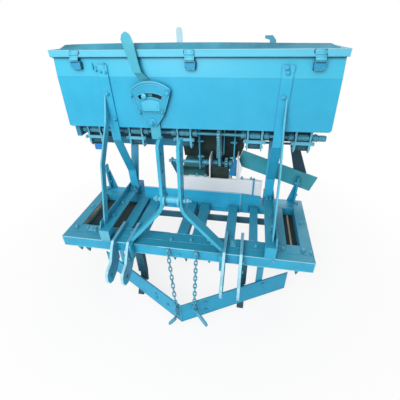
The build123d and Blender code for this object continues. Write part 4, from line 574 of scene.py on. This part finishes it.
def sector():
    """The sector's ribs, blank panels, scale marks and bolts, the dark behind its slot, and the lever's knob."""
    ribs, bolts, dark, knob = Build(), Build(), Build(), Build()

    def flat(points):
        return [(PIVOT_X + x, PIVOT_Z + z) for x, z in points]

    def rib(points, radius, **form):
        ribs.tube([(x, SECTOR_FRONT, z) for x, z in flat(points)], radius, **form)

    # raised border and the inner panel's edges
    rib(arc((6, 45), 178, -37.5, 37.5, 15), 4)
    rib(arc((6, 45), 166, -33, 33, 13), 2.6)
    rib([(-100, 160), (-96, 118), (-76, 57), (-70, 32), (-38, -3)], 3.4)
    rib([(115, 162), (101, 124), (76, 57), (62, 32), (34, -5)], 3.4)
    rib([(-86, 150), (-66, 76)], 2.6, sides=6)
    rib([(92, 152), (68, 76)], 2.6, sides=6)
    # rim round the slot
    rib(arc((0, 0), SLOT_RADIUS + SLOT_HALF, -26.5, 26.5, 13) + arc((0, 0), SLOT_RADIUS - SLOT_HALF, 26.5, -26.5, 13),
        3, closed=True)
    # a blank plate in two steps with knurled lower edge
    ribs.prism(flat(arc((0, 0), 128, -25, 25, 9) + [(50, 66), (-50, 66)]), "Y", SECTOR_FRONT - 3, SECTOR_FRONT + 2)
    ribs.prism(flat(arc((0, 0), 108, -22, 22, 7) + [(38, 78), (-38, 78)]), "Y", SECTOR_FRONT - 5, SECTOR_FRONT - 2)
    for i in range(13):
        x = PIVOT_X + (i * 8.3 - 50)
        ribs.box(x - 2.4, x + 2.4, SECTOR_FRONT - 5, SECTOR_FRONT, PIVOT_Z + 54, PIVOT_Z + 64)
    # scale marks over the slot, every fifth one longer
    for i in range(11):
        a = radians(-27 + 5.4 * i)
        rib([(r * sin(a), r * cos(a) - 1) for r in (172, 179 if i % 5 else 184)], 1.5, sides=6)
    ribs.finish("sector_ribs", "hopper_painted_lit", slot="hopper_blue", bevel=0.7)
    for x, z, across in ((-108, 150, 19), (107, 167, 19), (-69, 58, 16), (67, 62, 16)):
        bolts.bolt((PIVOT_X + x, SECTOR_FRONT, PIVOT_Z + z), FRONT, across=across, head=11, stud=6)
    bolts.turned((PIVOT_X, SECTOR_FRONT, PIVOT_Z), FRONT, [(0, 22), (3, 22), (5, 19), (6, 14)])
    bolts.bolt((PIVOT_X, SECTOR_FRONT - 5, PIVOT_Z), FRONT, across=21, head=11, stud=7)
    bolts.finish("sector_bolts", "frame_painted_lit", slot="hopper_blue", bevel=0.6)
    dark.prism(flat(arc((0, 0), 166, -31, 31, 11) + arc((0, 0), 108, 31, -31, 11)), "Y", HOPPER_FRONT - 2,
               HOPPER_FRONT + 1)
    dark.finish("sector_shadow", "shadow_blue", slot="hopper_blue")
    # the knob on the lever's pointer looks through the slot
    knob.turned((PIVOT_X - 33, 388, PIVOT_Z + 149), FRONT,
                [(0, 9), (19, 9), (20, 14), (23, 16), (26, 15), (28, 10), (29, 4)])
    knob.finish("lever_knob", "hopper_painted_lit", "lever", "hopper_blue", bevel=0.6)


# ---------------- metering units
METER_XS = (-661, -371, -49, 392, 673)
METER_RISE = 0.0115          # how much higher the units hang for each millimetre to the right
METER_HALF = 43
SHAFT_Y, SHAFT_Z = 490, 540


def floor_z(x):
    """The hopper's underside."""
    return 598.5 + (x - 9) * 19 / 1578


def metering():
    """Each unit's cast sides, its bar across the front, its cup, and the housing of its roller, dark with painted
    shade.
    """
    flats, cups, dark = Build(), Build(), Build()
    for x in METER_XS:
        rise, under = METER_RISE * (x - METER_XS[3]), floor_z(x)
        for side in (-1, 1):
            px = x + side * METER_HALF
            axis = (side, 0, 0)
            # a cast side: rounded foot, a boss round the shaft, a rib down its edge
            flats.prism([(466, under), (466, rise + 470), (470, rise + 452), (478, rise + 446), (508, rise + 446),
                         (518, rise + 458), (520, rise + 480), (520, under)], "X", px - 3.6, px + 3.6)
            flats.turned((px - side * 4.5, SHAFT_Y, SHAFT_Z), axis, [(0, 24), (1, 26), (8.5, 26), (9, 24)])
            flats.box(px - 6.5, px + 6.5, 463.5, 468, rise + 466, under - 1)
            flats.bolt((px + side * 3.6, 496, rise + 464), axis, across=12, head=6)
            # flange under the hopper
            flats.box(px - 18, px + 18, 462, 524, under - 5, under + 0.5)
            flats.bolt((px + side * 11, 474, under - 5), DOWN, across=12, head=7)
            # seal plates beside the collar, dark with painted shade
            dark.turned((px + side * 4.5, SHAFT_Y, SHAFT_Z), axis, [(0, 32), (2.5, 32)])
        # bar across the front with a bolt at each end
        flats.prism([(460, rise + 500), (466, rise + 499), (466, rise + 521), (460, rise + 520)], "X",
                    x - METER_HALF - 24, x + METER_HALF + 24)
        flats.bar(x - METER_HALF - 22, x + METER_HALF + 22, 460, rise + 519, 2, sides=6)
        for side in (-1, 1):
            flats.bolt((x + side * (METER_HALF + 16), 460, rise + 510), FRONT, across=14, head=9, stud=5)
        # the cup: a cast trough, rounded underneath, with its outlet
        sections = []
        for sx, dip in ((x - 38.5, 3), (x - 34, 0), (x + 34, 0), (x + 38.5, 3)):
            belly = [(sx, 496 + (20 - dip) * cos(a), rise + 473 + (20 - dip) * sin(a))
                     for a in map(radians, (200, 225, 250, 275, 300, 325, 345))]
            sections.append([(sx, 476 + dip, rise + 492), (sx, 475 + dip, rise + 474)] + belly
                            + [(sx, 516 - dip, rise + 474), (sx, 516 - dip, rise + 492)])
        cups.rings(sections)
        cups.bar(x - 38, x + 38, 474.5, rise + 489, 3)
        for px in (x - 13, x + 13):
            cups.box(px - 1.5, px + 1.5, 473.5, 480, rise + 458, rise + 488)
        # the fluted roller's housing behind and above, in shadow
        dark.box(x - 38, x + 38, 500, 519, rise + 494, under)
        dark.prism([(478, under), (478, under - 12), (500, under - 30), (500, under)], "X", x - 38, x + 38)
    flats.finish("meter_sides", "unit_light", slot="housing_blue", replaces=("metering_front",), bevel=0.9)
    cups.finish("meter_cups", "dark_blue", slot="housing_blue", bevel=1)
    dark.finish("meter_housings", "shadow_blue", slot="housing_blue", bevel=1)


def feed_rollers():
    """What turns on the front feed shaft: ribbed sleeves between the sides, set-screw collars, a knurled knob."""
    build = Build()

    def flutes(x0, x1, reach, radius, count):
        for _, y, z in around(0, SHAFT_Y, SHAFT_Z, reach, count):
            build.bar(x0, x1, y, z, radius, sides=6)

    for x in METER_XS:
        flutes(x - 32, x + 32, 18, 2.4, 12)
        for edge in (-32.5, -2.5, 27.5):
            build.turned((x + edge, SHAFT_Y, SHAFT_Z), RIGHT, [(0, 19), (1, 20.8), (4, 20.8), (5, 19)], 28)
        for side in (-1, 1):
            cx = x + side * (METER_HALF + 25)
            for dx in (-15, 11):
                build.turned((cx + dx, SHAFT_Y, SHAFT_Z), RIGHT, [(0, 20), (0.8, 22), (3.2, 22), (4, 20)], 28)
            build.bolt((cx, SHAFT_Y, SHAFT_Z + 19), UP, across=11, head=7, washer=False)
            build.bolt((cx, SHAFT_Y - 18, SHAFT_Z), FRONT, across=11, head=6, washer=False)
    flutes(764, 800, 16.4, 2, 16)
    build.finish("feed_sleeves", "shaft_blue", "front_shaft", "shaft_blue")


# ---------------- drive
CHAIN_PITCH = 19.05
COUNTER_Y, COUNTER_Z = 612, 280
WHEEL_X, WHEEL_Y, WHEEL_Z = -60, 975, -155
UPPER_X, LOWER_X = 172, 214
SPROCKETS = {            # teeth, place on its shaft, body
    "feed": (16, (UPPER_X, SHAFT_Y, SHAFT_Z), "front_shaft"),
    "counter_upper": (16, (UPPER_X, COUNTER_Y, COUNTER_Z), "middle_shaft"),
    "counter_lower": (12, (LOWER_X, COUNTER_Y, COUNTER_Z), "middle_shaft"),
    "wheel": (24, (LOWER_X, WHEEL_Y, WHEEL_Z), "wheel"),
}


def pitch_radius(teeth):
    return CHAIN_PITCH / 2 / sin(pi / teeth)


def belt_path(a, b):
    """The closed line round two circles (y, z, radius): an arc of short steps round each, straight between them."""
    distance = hypot(b[0] - a[0], b[1] - a[1])
    heading = atan2(b[1] - a[1], b[0] - a[0])
    spread = acos((a[2] - b[2]) / distance)
    points, steps = [], 90
    for (y, z, r), start, end in ((a, heading + spread, heading + 2 * pi - spread),
                                  (b, heading - spread, heading + spread)):
        for i in range(steps + 1):
            angle = start + (end - start) * i / steps
            points.append(Vector((y + r * cos(angle), z + r * sin(angle))))
    return points


def along(points, pitch):
    """Places at even distances on a closed line, as near to the pitch as whole links allow."""
    closed = points + points[:1]
    lengths = [(after - before).length for before, after in zip(closed, closed[1:])]
    count = 2 * round(sum(lengths) / pitch / 2)
    places, travelled, i = [], 0, 0
    for n in range(count):
        target = n * sum(lengths) / count
        while travelled + lengths[i] < target:
            travelled += lengths[i]
            i += 1
        places.append(closed[i].lerp(closed[i + 1], (target - travelled) / max(lengths[i], 1e-9)))
    return places


def roller_chain(build, x, a, b):
    """A roller at each place and two plates to the next; every other pair lies outside and carries the pins."""
    places = along(belt_path(a, b), CHAIN_PITCH)
    for n, (p, q) in enumerate(zip(places, places[1:] + places[:1])):
        build.turned((x - 5.5, p.x, p.y), RIGHT, [(0, 5.6), (11, 5.6)], 12)
        if n % 2:
            for pin in (p, q):
                build.turned((x - 9.5, pin.x, pin.y), RIGHT, [(0, 2.2), (1, 2.9), (18, 2.9), (19, 2.2)], 8)
        side = Vector((q.y - p.y, p.x - q.x)).normalized()
        run = (q - p).normalized()
        outline = []
        for center, sign in ((p, -1), (q, 1)):
            for turn in map(radians, (-75, -40, 0, 40, 75)):
                corner = center + (run * sign * cos(turn) + side * sign * sin(turn)) * 6
                outline.append((corner.x, corner.y))
        for sign in (-1, 1):
            inner = x + sign * (7.4 if n % 2 else 5.4)
            build.prism(outline, "X", *sorted((inner, inner + sign * 1.7)))


def chains():
    build = Build()
    for pair in (("feed", "counter_upper"), ("counter_lower", "wheel")):
        ends = [(y, z, pitch_radius(teeth)) for teeth, (_, y, z), _ in map(SPROCKETS.get, pair)]
        roller_chain(build, SPROCKETS[pair[0]][1][0], *ends)
    build.finish("roller_chains", "chain_light", slot="chain_steel", replaces=("drive_chains",))


def sprockets():
    """Toothed discs on their hubs, and the sleeves and washers along the counter shaft."""
    for body, name, material, slot in (
            ("front_shaft", "feed_sprocket", "chain_steel", "shaft_blue"),
            ("middle_shaft", "counter_sprockets", "shaft_blue", "steel"),
            ("wheel", "wheel_sprocket", "chain_steel", "steel")):
        build = Build()
        for teeth, (x, y, z), rides_on in SPROCKETS.values():
            if rides_on != body:
                continue
            outline = []
            for i in range(teeth):
                for share, rise in ((-0.5, -6.5), (-0.32, -4.5), (-0.14, 2.8), (0.14, 2.8), (0.32, -4.5)):
                    turn, r = 2 * pi * (i + 0.5 + share) / teeth, pitch_radius(teeth) + rise
                    outline.append((y + r * cos(turn), z + r * sin(turn)))
            build.prism(outline, "X", x - 3.6, x + 3.6)
            build.turned((x - 14, y, z), RIGHT, [(0, 21), (1, 22.5), (27, 22.5), (28, 21)])
            build.bolt((x + 9, y, z + 22), UP, across=9, head=5, washer=False)
        if body == "middle_shaft":
            for x, length, radius in ((40, 52, 18), (118, 34, 20), (232, 28, 17), (276, 14, 20), (304, 14, 17),
                                      (70, 6, 24), (20, 5, 22)):
                build.turned((x, COUNTER_Y, COUNTER_Z), RIGHT,
                             [(0, radius - 1), (1, radius), (length - 1, radius), (length, radius - 1)])
        build.finish(name, material, body, slot, bevel=0.5)


def drive_bolts():
    """Bolts and stays of the drive, washers on its shafts, and the bright guard by the hangers."""
    build, guard = Build(), Build()
    for x in (13.5, 77, 332, 395):
        build.bolt((x, 527, 211), UP, across=17, head=10, stud=8)
    for x, side in ((31, 1), (268, -1)):
        for z, across in ((340, 17), (452, 15), (566, 15)):
            build.bolt((x + side * 4, 580, z), (side, 0, 0), across=across, head=10, stud=12)
            build.bolt((x - side * 4, 580, z), (-side, 0, 0), across=across, head=9)
    # flats on both sides of the upper chain, and its tensioner's plate with two bolts
    build.box(150, 156, 556, 580, 345, 590)
    build.box(196, 201, 556, 576, 372, 590)
    build.box(158, 178, 519, 524, 452, 588)
    for z in (540, 470):
        build.bolt((168, 519, z), FRONT)
    for x, y, z in ((-184, WHEEL_Y, WHEEL_Z), (244, COUNTER_Y, COUNTER_Z), (244, WHEEL_Y, WHEEL_Z)):
        for side in (1, -1):
            build.turned((x + side * 4, y, z), (side, 0, 0), [(0.5, 27), (5, 27), (6, 25)])
    build.finish("drive_bolts", "frame_painted_highlight", bevel=0.6)
    guard.prism([(240, 250), (242, 224), (292, 216), (292, 340), (276, 352), (262, 300)], "Y", 545, 550)
    guard.finish("chain_guard", "guard_blue", slot="cup_blue", bevel=1.5)


SHADE_SHEET_LEFT, SHADE_SHEET_RIGHT = -100, 285


def shade_sheets():
    """Dark sheets of painted shade behind the feed row and the chains, and the guard that stands on the drive beam."""
    row, centre = Build(), Build()
    for x0, x1, low in ((-700, SHADE_SHEET_LEFT, 440), (SHADE_SHEET_RIGHT, 735, 458)):
        row.prism([(x0, low), (x1, low), (x1, floor_z(x1)), (x0, floor_z(x0))], "Y", 634, 637)
        row.bar(x0, x1, 635.5, low, 2.6)
    row.finish("row_shade_sheet", "shadow_blue", slot="dark_blue")
    centre.prism([(634, 596), (637, 596), (637.5, 396), (674, 300), (671, 299), (634.5, 395)], "X", SHADE_SHEET_LEFT,
                 SHADE_SHEET_RIGHT)
    centre.box(50, 196, 671.5, 674.5, 150, 301)
    centre.box(194, 256, 675, 678, 205, 332)
    centre.prism([(SHADE_SHEET_RIGHT - 2, 462), (330, 462), (330, 402), (308, 330), (SHADE_SHEET_RIGHT - 2, 330)], "Y", 638, 641)
    centre.prism([(527, 205), (551, 205), (551, 285), (548, 285), (548, 208), (527, 208)], "X", 92, 236)
    centre.finish("chain_shade_sheets", "olive_shade", slot="dark_blue", bevel=0.8)


# ---------------- ground wheel
def wheel_detail():
    """Rolled rims, hubs with their bolts, and the welds of the spokes and lugs."""
    build = Build()
    for x, reach, wire, sides in ((-98, 297.5, 5, 8), (98, 297.5, 5, 8), (0, 291, 4, 6)):
        build.tube(around(WHEEL_X + x, WHEEL_Y, WHEEL_Z, reach, 72), wire, sides, closed=True)
    for side in (-1, 1):
        build.turned((WHEEL_X + side * 84, WHEEL_Y, WHEEL_Z), (side, 0, 0),
                     [(-3, 33), (0, 36), (8, 36), (10, 33), (12, 22), (20, 20), (22, 17)], 28)
        for i in range(6):
            turn = radians(60 * i + 30)
            build.bolt((WHEEL_X + side * 92, WHEEL_Y + 28 * cos(turn), WHEEL_Z + 28 * sin(turn)),
                       (side, 0, 0), across=9, head=4, washer=False)
    for i in range(6):
        turn = radians(60 * (i + 0.5) + 90)
        dy, dz = cos(turn), sin(turn)
        for x in (WHEEL_X - 20, WHEEL_X + 20):
            build.weld((x, WHEEL_Y + dy * 33 - dz * 5, WHEEL_Z + dz * 33 + dy * 5),
                       (x, WHEEL_Y + dy * 33 + dz * 5, WHEEL_Z + dz * 33 - dy * 5), 3.5)
    for i in range(12):
        turn = radians(30 * i + 90)
        dy, dz = cos(turn), sin(turn)
        for side in (-1, 1):
            y, z = WHEEL_Y + dy * 300.5 - dz * side * 4, WHEEL_Z + dz * 300.5 + dy * side * 4
            build.weld((WHEEL_X - 92, y, z), (WHEEL_X + 92, y, z), 3.2, 8)
    build.finish("wheel_detail", "wheel_paint", "wheel", "wheel_paint")


# ---------------- frame
BAY_FRONT, BAY_REAR = 136, 516           # Y of the faces between which the fore-aft members lie
BAY_FLOOR = (-59, -56)                   # Z of the dark sheets of painted shade in the outer bays
RAILS = ((-472, -1), (528, 1))           # X of each rail's middle, its side
MEMBERS = (              # X of each fore-aft member's middle, its width
    (-394, 68), (-302, 72), (-17, 65), (80, 62), (287, 62), (434, 52), (609, 45))


def frame_detail():
    """Rolled edges painted as highlights, the dark floors of painted shade in the outer bays, the drive beam's tray,
    welds, bolts and lugs.
    """
    edges, shade_floor, floors, soil, tray, welds, bolts, ends = (Build() for _ in range(8))
    # rolled edges in a light colour: painted highlight
    for a, b in (((-779, 2, -2), (779, 2, -2)), ((-779, 2, -73), (779, 2, -73)),
                 ((-778, 2, -3), (-778, 630, -3)), ((778, 2, -3), (778, 630, -3)),
                 ((-778, 2, -3), (-778, 2, -72)), ((778, 2, -3), (778, 2, -72)),
                 ((-389, 511, 98.6), (334, 511, 98.6)), ((333, 511, 98), (333, 511, -68)),
                 ((-502, 14, 94), (-502, 628, 118))):
        edges.tube([a, b], 2.8)
    edges.finish("rolled_edges", "edge_painted_highlight")
    shade_floor.box(-505, -430, BAY_FRONT, BAY_REAR, *BAY_FLOOR)
    shade_floor.finish("bay_floor_shade", "olive_shade", slot="dark_blue", bevel=0.8)
    for x0, x1 in ((-711, -506), (560, 711)):
        floors.box(x0, x1, BAY_FRONT, BAY_REAR, *BAY_FLOOR)
    floors.finish("bay_floors", "deep_shadow", slot="dark_blue", bevel=0.8)
    soil.box(-712.5, -708, 142, 510, -40, -10)
    soil.box(668, 680, 142, 510, -57, -53)
    soil.finish("bay_soil", "straw", slot="dark_blue", bevel=2)
    tray.prism([(336, 0), (478, 0), (478, 86), (336, 99)], "Y", 511, 516.5)
    tray.tube([(336, 511, 98), (478, 511, 85)], 2.6)
    tray.finish("beam_tray", "frame_blue", bevel=1)
    runs = ((-776, -586), (-420, -300), (-240, -94), (-60, 170), (330, 468), (575, 700))
    for y, shown in ((60.5, runs), (134.5, runs[1:-1])):
        for x0, x1 in shown:
            welds.weld((x0, y, 0.8), (x1, y, 0.8), 2.2, 7)
    for x, width in MEMBERS:
        x0, x1 = x - width / 2, x + width / 2
        for y in (BAY_FRONT - 0.5, 508 if -424 < x < 366 else BAY_REAR):         # in the middle, at the drive beam
            welds.weld((x0, y, 0.5), (x1, y, 0.5), 2.6)
        for px in (x0 - 0.5, x1 + 0.5):
            welds.weld((px, BAY_FRONT, -56), (px, BAY_FRONT, -2))
    for side in (-1, 1):
        welds.weld((side * 712, 62, 0.5), (side * 712, 134, 0.5), 2.6)
        welds.weld((side * 711, 518, 0.5), (side * 711, 630, 0.5), 2.8)
        welds.weld((side * 778, 60.5, 0.5), (side * 714, 60.5, 0.5), 2.6)
    welds.weld((-388, 508, -40), (334, 508, -40), 2, 9)
    welds.finish("frame_welds", "frame_blue")
    for x, y, across, stud in (
            (-731, 99, 17, 6), (-650, 98, 15, 4), (-612, 92, 17, 6), (-585, 76, 19, 8), (-70, 66, 19, 4),
            (54, 82, 17, 6), (262, 122, 17, 4), (313, 90, 19, 6), (450, 85, 19, 6), (540, 178, 19, 5),
            (608, 93, 19, 3), (723, 94, 24, 5), (764, 84, 15, 5), (-742, 590, 19, 6), (742, 590, 19, 6),
            (-742, 340, 15, 4), (745, 360, 15, 4), (-340, 95, 15, 4), (160, 98, 15, 4)):
        z = 83 if (x, y) == (540, 178) else 0            # that one stands on the right rail
        bolts.bolt((x, y, z), UP, across=across, head=across * 0.55, stud=stud)
    # what shows of the bolts under the front beam: pointed ends
    for x, length, girth in ((-676, 44, 1.4), (-622, 50, 1.5), (-38, 38, 1), (32, 42, 1), (177, 32, 1),
                             (691, 44, 1.1)):
        ends.turned((x, 15, -75), DOWN, [(0, 13 * girth), (3, 13 * girth), (length * 0.3, 11 * girth),
                                         (length * 0.7, 6 * girth), (length, 1)], 12)
    ends.finish("beam_bolt_ends", "housing_blue", bevel=0.5)
    # flat lugs on the front beam's top
    for x0, x1, y0, y1 in ((296, 330, 64, 118), (176, 222, 62, 108), (-640, -596, 70, 118)):
        bolts.box(x0, x1, y0, y1, 0, 5)
    bolts.bolt((-7, 0, -52), FRONT, head=6)
    bolts.bolt((551, 0, -12), FRONT, across=13, head=6)
    bolts.finish("frame_bolts", "frame_painted_highlight", bevel=0.7)


def rail_detail():
    """The box rails' welds, rolled edges and bolts, the feet that stand on them, and the left one's end in a paler
    colour.
    """
    build, pale_end = Build(), Build()
    for x, side in RAILS:
        x0, x1 = x - 33, x + 33
        for y in (1, 631):
            build.weld((x0 + 3, y, 74), (x1 - 3, y, 74), 2.6)
            build.weld((x0 + 3, y, 1), (x1 - 3, y, 1))
        inner = x1 - 1.5 if side < 0 else x0 + 1.5
        build.tube([(inner, 3, 80.6), (inner, 628, 80.6)], 2.2)
        build.bar(x0 + 2, x1 - 2, 1.8, 80.4, 2.2)
        for y in (150, 300, 560):
            build.bolt((x + side * 2, y, 82), UP, stud=4)
        # foot of the strap and of the leg behind it
        build.box(x - 27, x + 30, 476, 505, 82, 88)
        for dx in (-12, 14):
            build.bolt((x + dx, 490, 88), UP, head=9, stud=4)
    build.finish("rail_detail", "frame_blue", bevel=0.8)
    pale_end.box(-503.5, -441, -1.6, 0.3, 3, 78.5)
    pale_end.finish("rail_end_pale", "unit_light", bevel=0.5)


# ---------------- hitch
HITCH_X = -24
HITCH_SPREAD = 683           # from pin to pin
PIN_Y, PIN_Z = -130, -150
PLATE_NEAR, PLATE_FAR = 40, 58           # a plate's two faces, from the middle of its pair
PLATE_EDGE = (           # Y, Z down the plates' front edge, and Y, Z of the light strip on it: wear and painted highlight
    ((-18, 28), (-19.2, 29.3)), ((-46, 3), (-47.4, 4.2)), ((-102, -80), (-102.9, -78.6)),
    ((-152, -98), (-152.8, -96.5)), ((-172, -114), (-173.4, -113)), ((-180, -150), (-181.5, -150.2)),
    ((-165, -190), (-166.2, -191.2)))


def hitch_detail():
    """Bolts, welds and raised washers of the hitch plates and the mast, and the plates' worn front edges in a light
    colour that is also a painted highlight.
    """
    build, edges = Build(), Build()
    for side in (-1, 1):
        pair = HITCH_X + side * HITCH_SPREAD / 2
        for out in (-1, 1):
            face = pair + out * PLATE_FAR
            build.bolt((face, -38, -19), (out, 0, 0), head=7)
            build.bolt((face, -70, -60), (out, 0, 0), across=13, head=7)
            # raised washer round the pin's bore
            build.tube(around(face + out, PIN_Y, PIN_Z, 15, 32), 2.2, closed=True)
            for x in (pair + out * PLATE_NEAR, face):
                build.weld((x, -2, -70), (x, -2, -2), 3.2)
            for (a, a_worn), (b, b_worn) in zip(PLATE_EDGE, PLATE_EDGE[1:]):
                edges.prism([a, a_worn, b_worn, b], "X", *sorted((pair + out * (PLATE_NEAR + 1), face - out)))
        build.weld((HITCH_X + side * 110, -3, 1), (HITCH_X + side * 290, -3, 1))
    # nuts of the spacer's through bolt
    for side in (-1, 1):
        build.bolt((-25 + side * 78, 28, 336), (side, 0, 0), across=30, head=14, stud=12)
    build.finish("hitch_detail", "hitch_light", bevel=0.7)
    edges.finish("hitch_edge_wear_and_highlights", "edge_painted_highlight", bevel=0.4)


LINK_PITCH, LINK_LENGTH, LINK_WIDTH, LINK_WIRE = 25, 38, 25, 8
HITCH_CHAINS = (         # X of its lug, X where it crosses the board, its pin's two ends (Z above ground)
    (-72, 2, (-3, -197, 98), (-42, -226, 66)),
    (104, 110, (118, -167, 160), (199, -225, 106)))
BOARD_X, BOARD_Y, BOARD_SLOPE = 30, -185, 368 / 658      # the V board's point, and how far it falls back
BOARD_LOW, BOARD_HIGH = GROUND + 50, GROUND + 202        # Z of its rounded edges


def board_y(x):
    """The V board's front face."""
    return BOARD_Y + BOARD_SLOPE * abs(x - BOARD_X)


def hitch_chains():
    """Welded chain, link by link, every other one turned by a quarter; each ends in a linch pin."""
    build = Build()
    top_y, top_z = -LINK_WIDTH / 2 - 2, -6
    half, bend = (LINK_LENGTH - LINK_WIDTH) / 2, (LINK_WIDTH - LINK_WIRE) / 2
    for x_top, x_low, *pin in HITCH_CHAINS:
        start, end = (Vector(p) + Vector((0, 0, GROUND)) for p in pin)
        axis = (end - start).normalized()
        over_board = Vector((x_low, board_y(x_low) - 14, BOARD_HIGH + 12))
        route = [Vector((x_top, top_y, top_z)), over_board, start - axis * 8]
        count = 0
        for a, b in zip(route, route[1:]):
            run = b - a
            steps = max(1, round(run.length / LINK_PITCH))
            heading = run.normalized()
            for i in range(steps):
                middle = a + run * ((i + 0.5) / steps)
                quarter = radians(90 * (count % 2) + 35 + 12 * sin(count * 2.1))
                across = (Matrix.Rotation(quarter, 3, heading) @ heading.orthogonal().normalized()).normalized()
                path = []
                for k in range(20):
                    turn = 2 * pi * k / 20
                    shift = half if cos(turn) > 0 else -half
                    path.append(middle + heading * (shift + bend * cos(turn)) + across * bend * sin(turn))
                build.tube(path, LINK_WIRE / 2, closed=True)
                count += 1
        length = (end - start).length
        build.turned(start, axis, [(0, 6), (2, 10), (6, 11), (length - 14, 11), (length - 3, 8), (length, 4)], 20)
        ring_side = axis.cross(axis.orthogonal().normalized())
        build.tube([start + axis * 5 + (axis * cos(t) + ring_side * sin(t)) * 17
                    for t in (2 * pi * k / 24 for k in range(24))], 2.4, sides=6, closed=True)
        build.prism([(top_y - 10, top_z - 18), (0, top_z - 18), (0, top_z + 4), (top_y - 2, top_z + 4),
                     (top_y - 10, top_z - 3)], "X", x_top - 4, x_top + 4)
        build.weld((x_top - 4.5, -1, top_z - 18), (x_top - 4.5, -1, top_z + 4), 2.4)
    build.finish("safety_chains", "chain_blue", slot="chain_steel", replaces=("hitch_chains",))


# ---------------- soil-engaging parts
TINES = (                # X, Y, Z of its seat, half the shovel's width
    (-318, 85, -60, 22), (388, 85, -60, 22), (-640, 523, -70, 33), (35, 523, -70, 33), (664, 523, -70, 33))


def tine_detail():
    """Each tine's bolts and welds, the rolled lip of its seed boot and the ground face of its shovel."""
    build, tips = Build(), Build()
    for x, y, seat, half in TINES:
        for dx in (-28, 28):
            for dy in (8, 40):
                build.bolt((x + dx, y + dy, seat - 10), DOWN, stud=5)
        for z in (-110, -160, -240):
            build.bolt((x, y, z), FRONT, across=17)
        for px in (x - 25.5, x + 25.5):
            build.weld((px, y + 1, seat - 11), (px, y + 19, seat - 11), 3.5)
        mouth = GROUND + 330
        build.tube([(x + dx, y + dy, mouth) for dx, dy in ((-19, 21), (19, 21), (19, 60), (-19, 60))], 3, closed=True)
        build.box(x - 14, x + 14, y + 26, y + 56, mouth - 1, mouth + 0.6)
        points = [(x - half, y - 80.6, GROUND + 1), (x + half, y - 80.6, GROUND + 1), (x + half, y - 46, GROUND + 54),
                  (x, y - 38, GROUND + 66), (x - half, y - 46, GROUND + 54)]
        back = [(px, py + 3, pz + 1) for px, py, pz in points]
        tips.add(points + back, [(0, 1, 2, 3, 4), (9, 8, 7, 6, 5), (0, 5, 6, 1), (1, 6, 7, 2), (2, 7, 8, 3),
                                 (3, 8, 9, 4), (4, 9, 5, 0)])
        build.bolt((x, y - 17, GROUND + 92), (0, -0.82, 0.57), across=14, head=6)
    build.finish("tine_detail", "dark_blue", slot="dark_blue", bevel=0.7)
    tips.finish("shovel_faces", "shadow_blue", slot="dark_blue", bevel=1)


def board_detail():
    """The levelling board's bolts, the slot beside its right hanger, its rounded edges and its middle weld."""
    build = Build()

    def face(x, z):
        return x, board_y(x), z + GROUND

    for x, heights, across in ((-163, (148, 106), 15), (172, (168, 96), 15), (-445, (150, 110), 17), (525, (170,), 19),
                               (-70, (126,), 13), (120, (126,), 13)):
        out = Vector((copysign(BOARD_SLOPE, x - BOARD_X), -1, 0)).normalized()
        for z in heights:
            build.bolt(face(x, z), out, across=across, head=7)
    for dx, dy in ((-4, -3), (5, 2)):
        build.tube([(x + dx, y + dy, z) for x, y, z in (face(527, 118), face(527, 142))], 1.4, sides=6)
    for side in (-1, 1):
        x = BOARD_X + side * 656
        y = board_y(x) + 1
        for z in (BOARD_LOW, BOARD_HIGH):
            build.tube([(BOARD_X, BOARD_Y + 1, z), (x, y, z)], 3)
        build.tube([(x - side, y, BOARD_LOW), (x - side, y, BOARD_HIGH)], 3)
    build.weld((BOARD_X, BOARD_Y - 1.5, BOARD_LOW), (BOARD_X, BOARD_Y - 1.5, BOARD_HIGH), 3.6)
    build.finish("board_detail", "frame_blue", bevel=0.6)


def rear_detail():
    """Bolts and welds of the two rear brackets."""
    build = Build()
    for x in (-722, 722):
        build.bolt((x + 6, 612, 157), RIGHT, across=19, head=10, stud=6)
        build.bolt((x - 6, 612, 157), LEFT, across=19, head=9)
        build.bolt((x + 6, 612, 60), RIGHT)
        for px in (x - 6.5, x + 6.5):
            build.weld((px, 593, 1), (px, 631, 1))
    build.finish("rear_bracket_bolts", "frame_painted_highlight", bevel=0.6)


for dress in (hasps, pockets, lid_trim, lid_crown, hopper_trim, sector, metering, feed_rollers, chains, sprockets,
              drive_bolts, shade_sheets, wheel_detail, frame_detail, rail_detail, hitch_detail, hitch_chains, tine_detail,
              board_detail, rear_detail):
    dress()
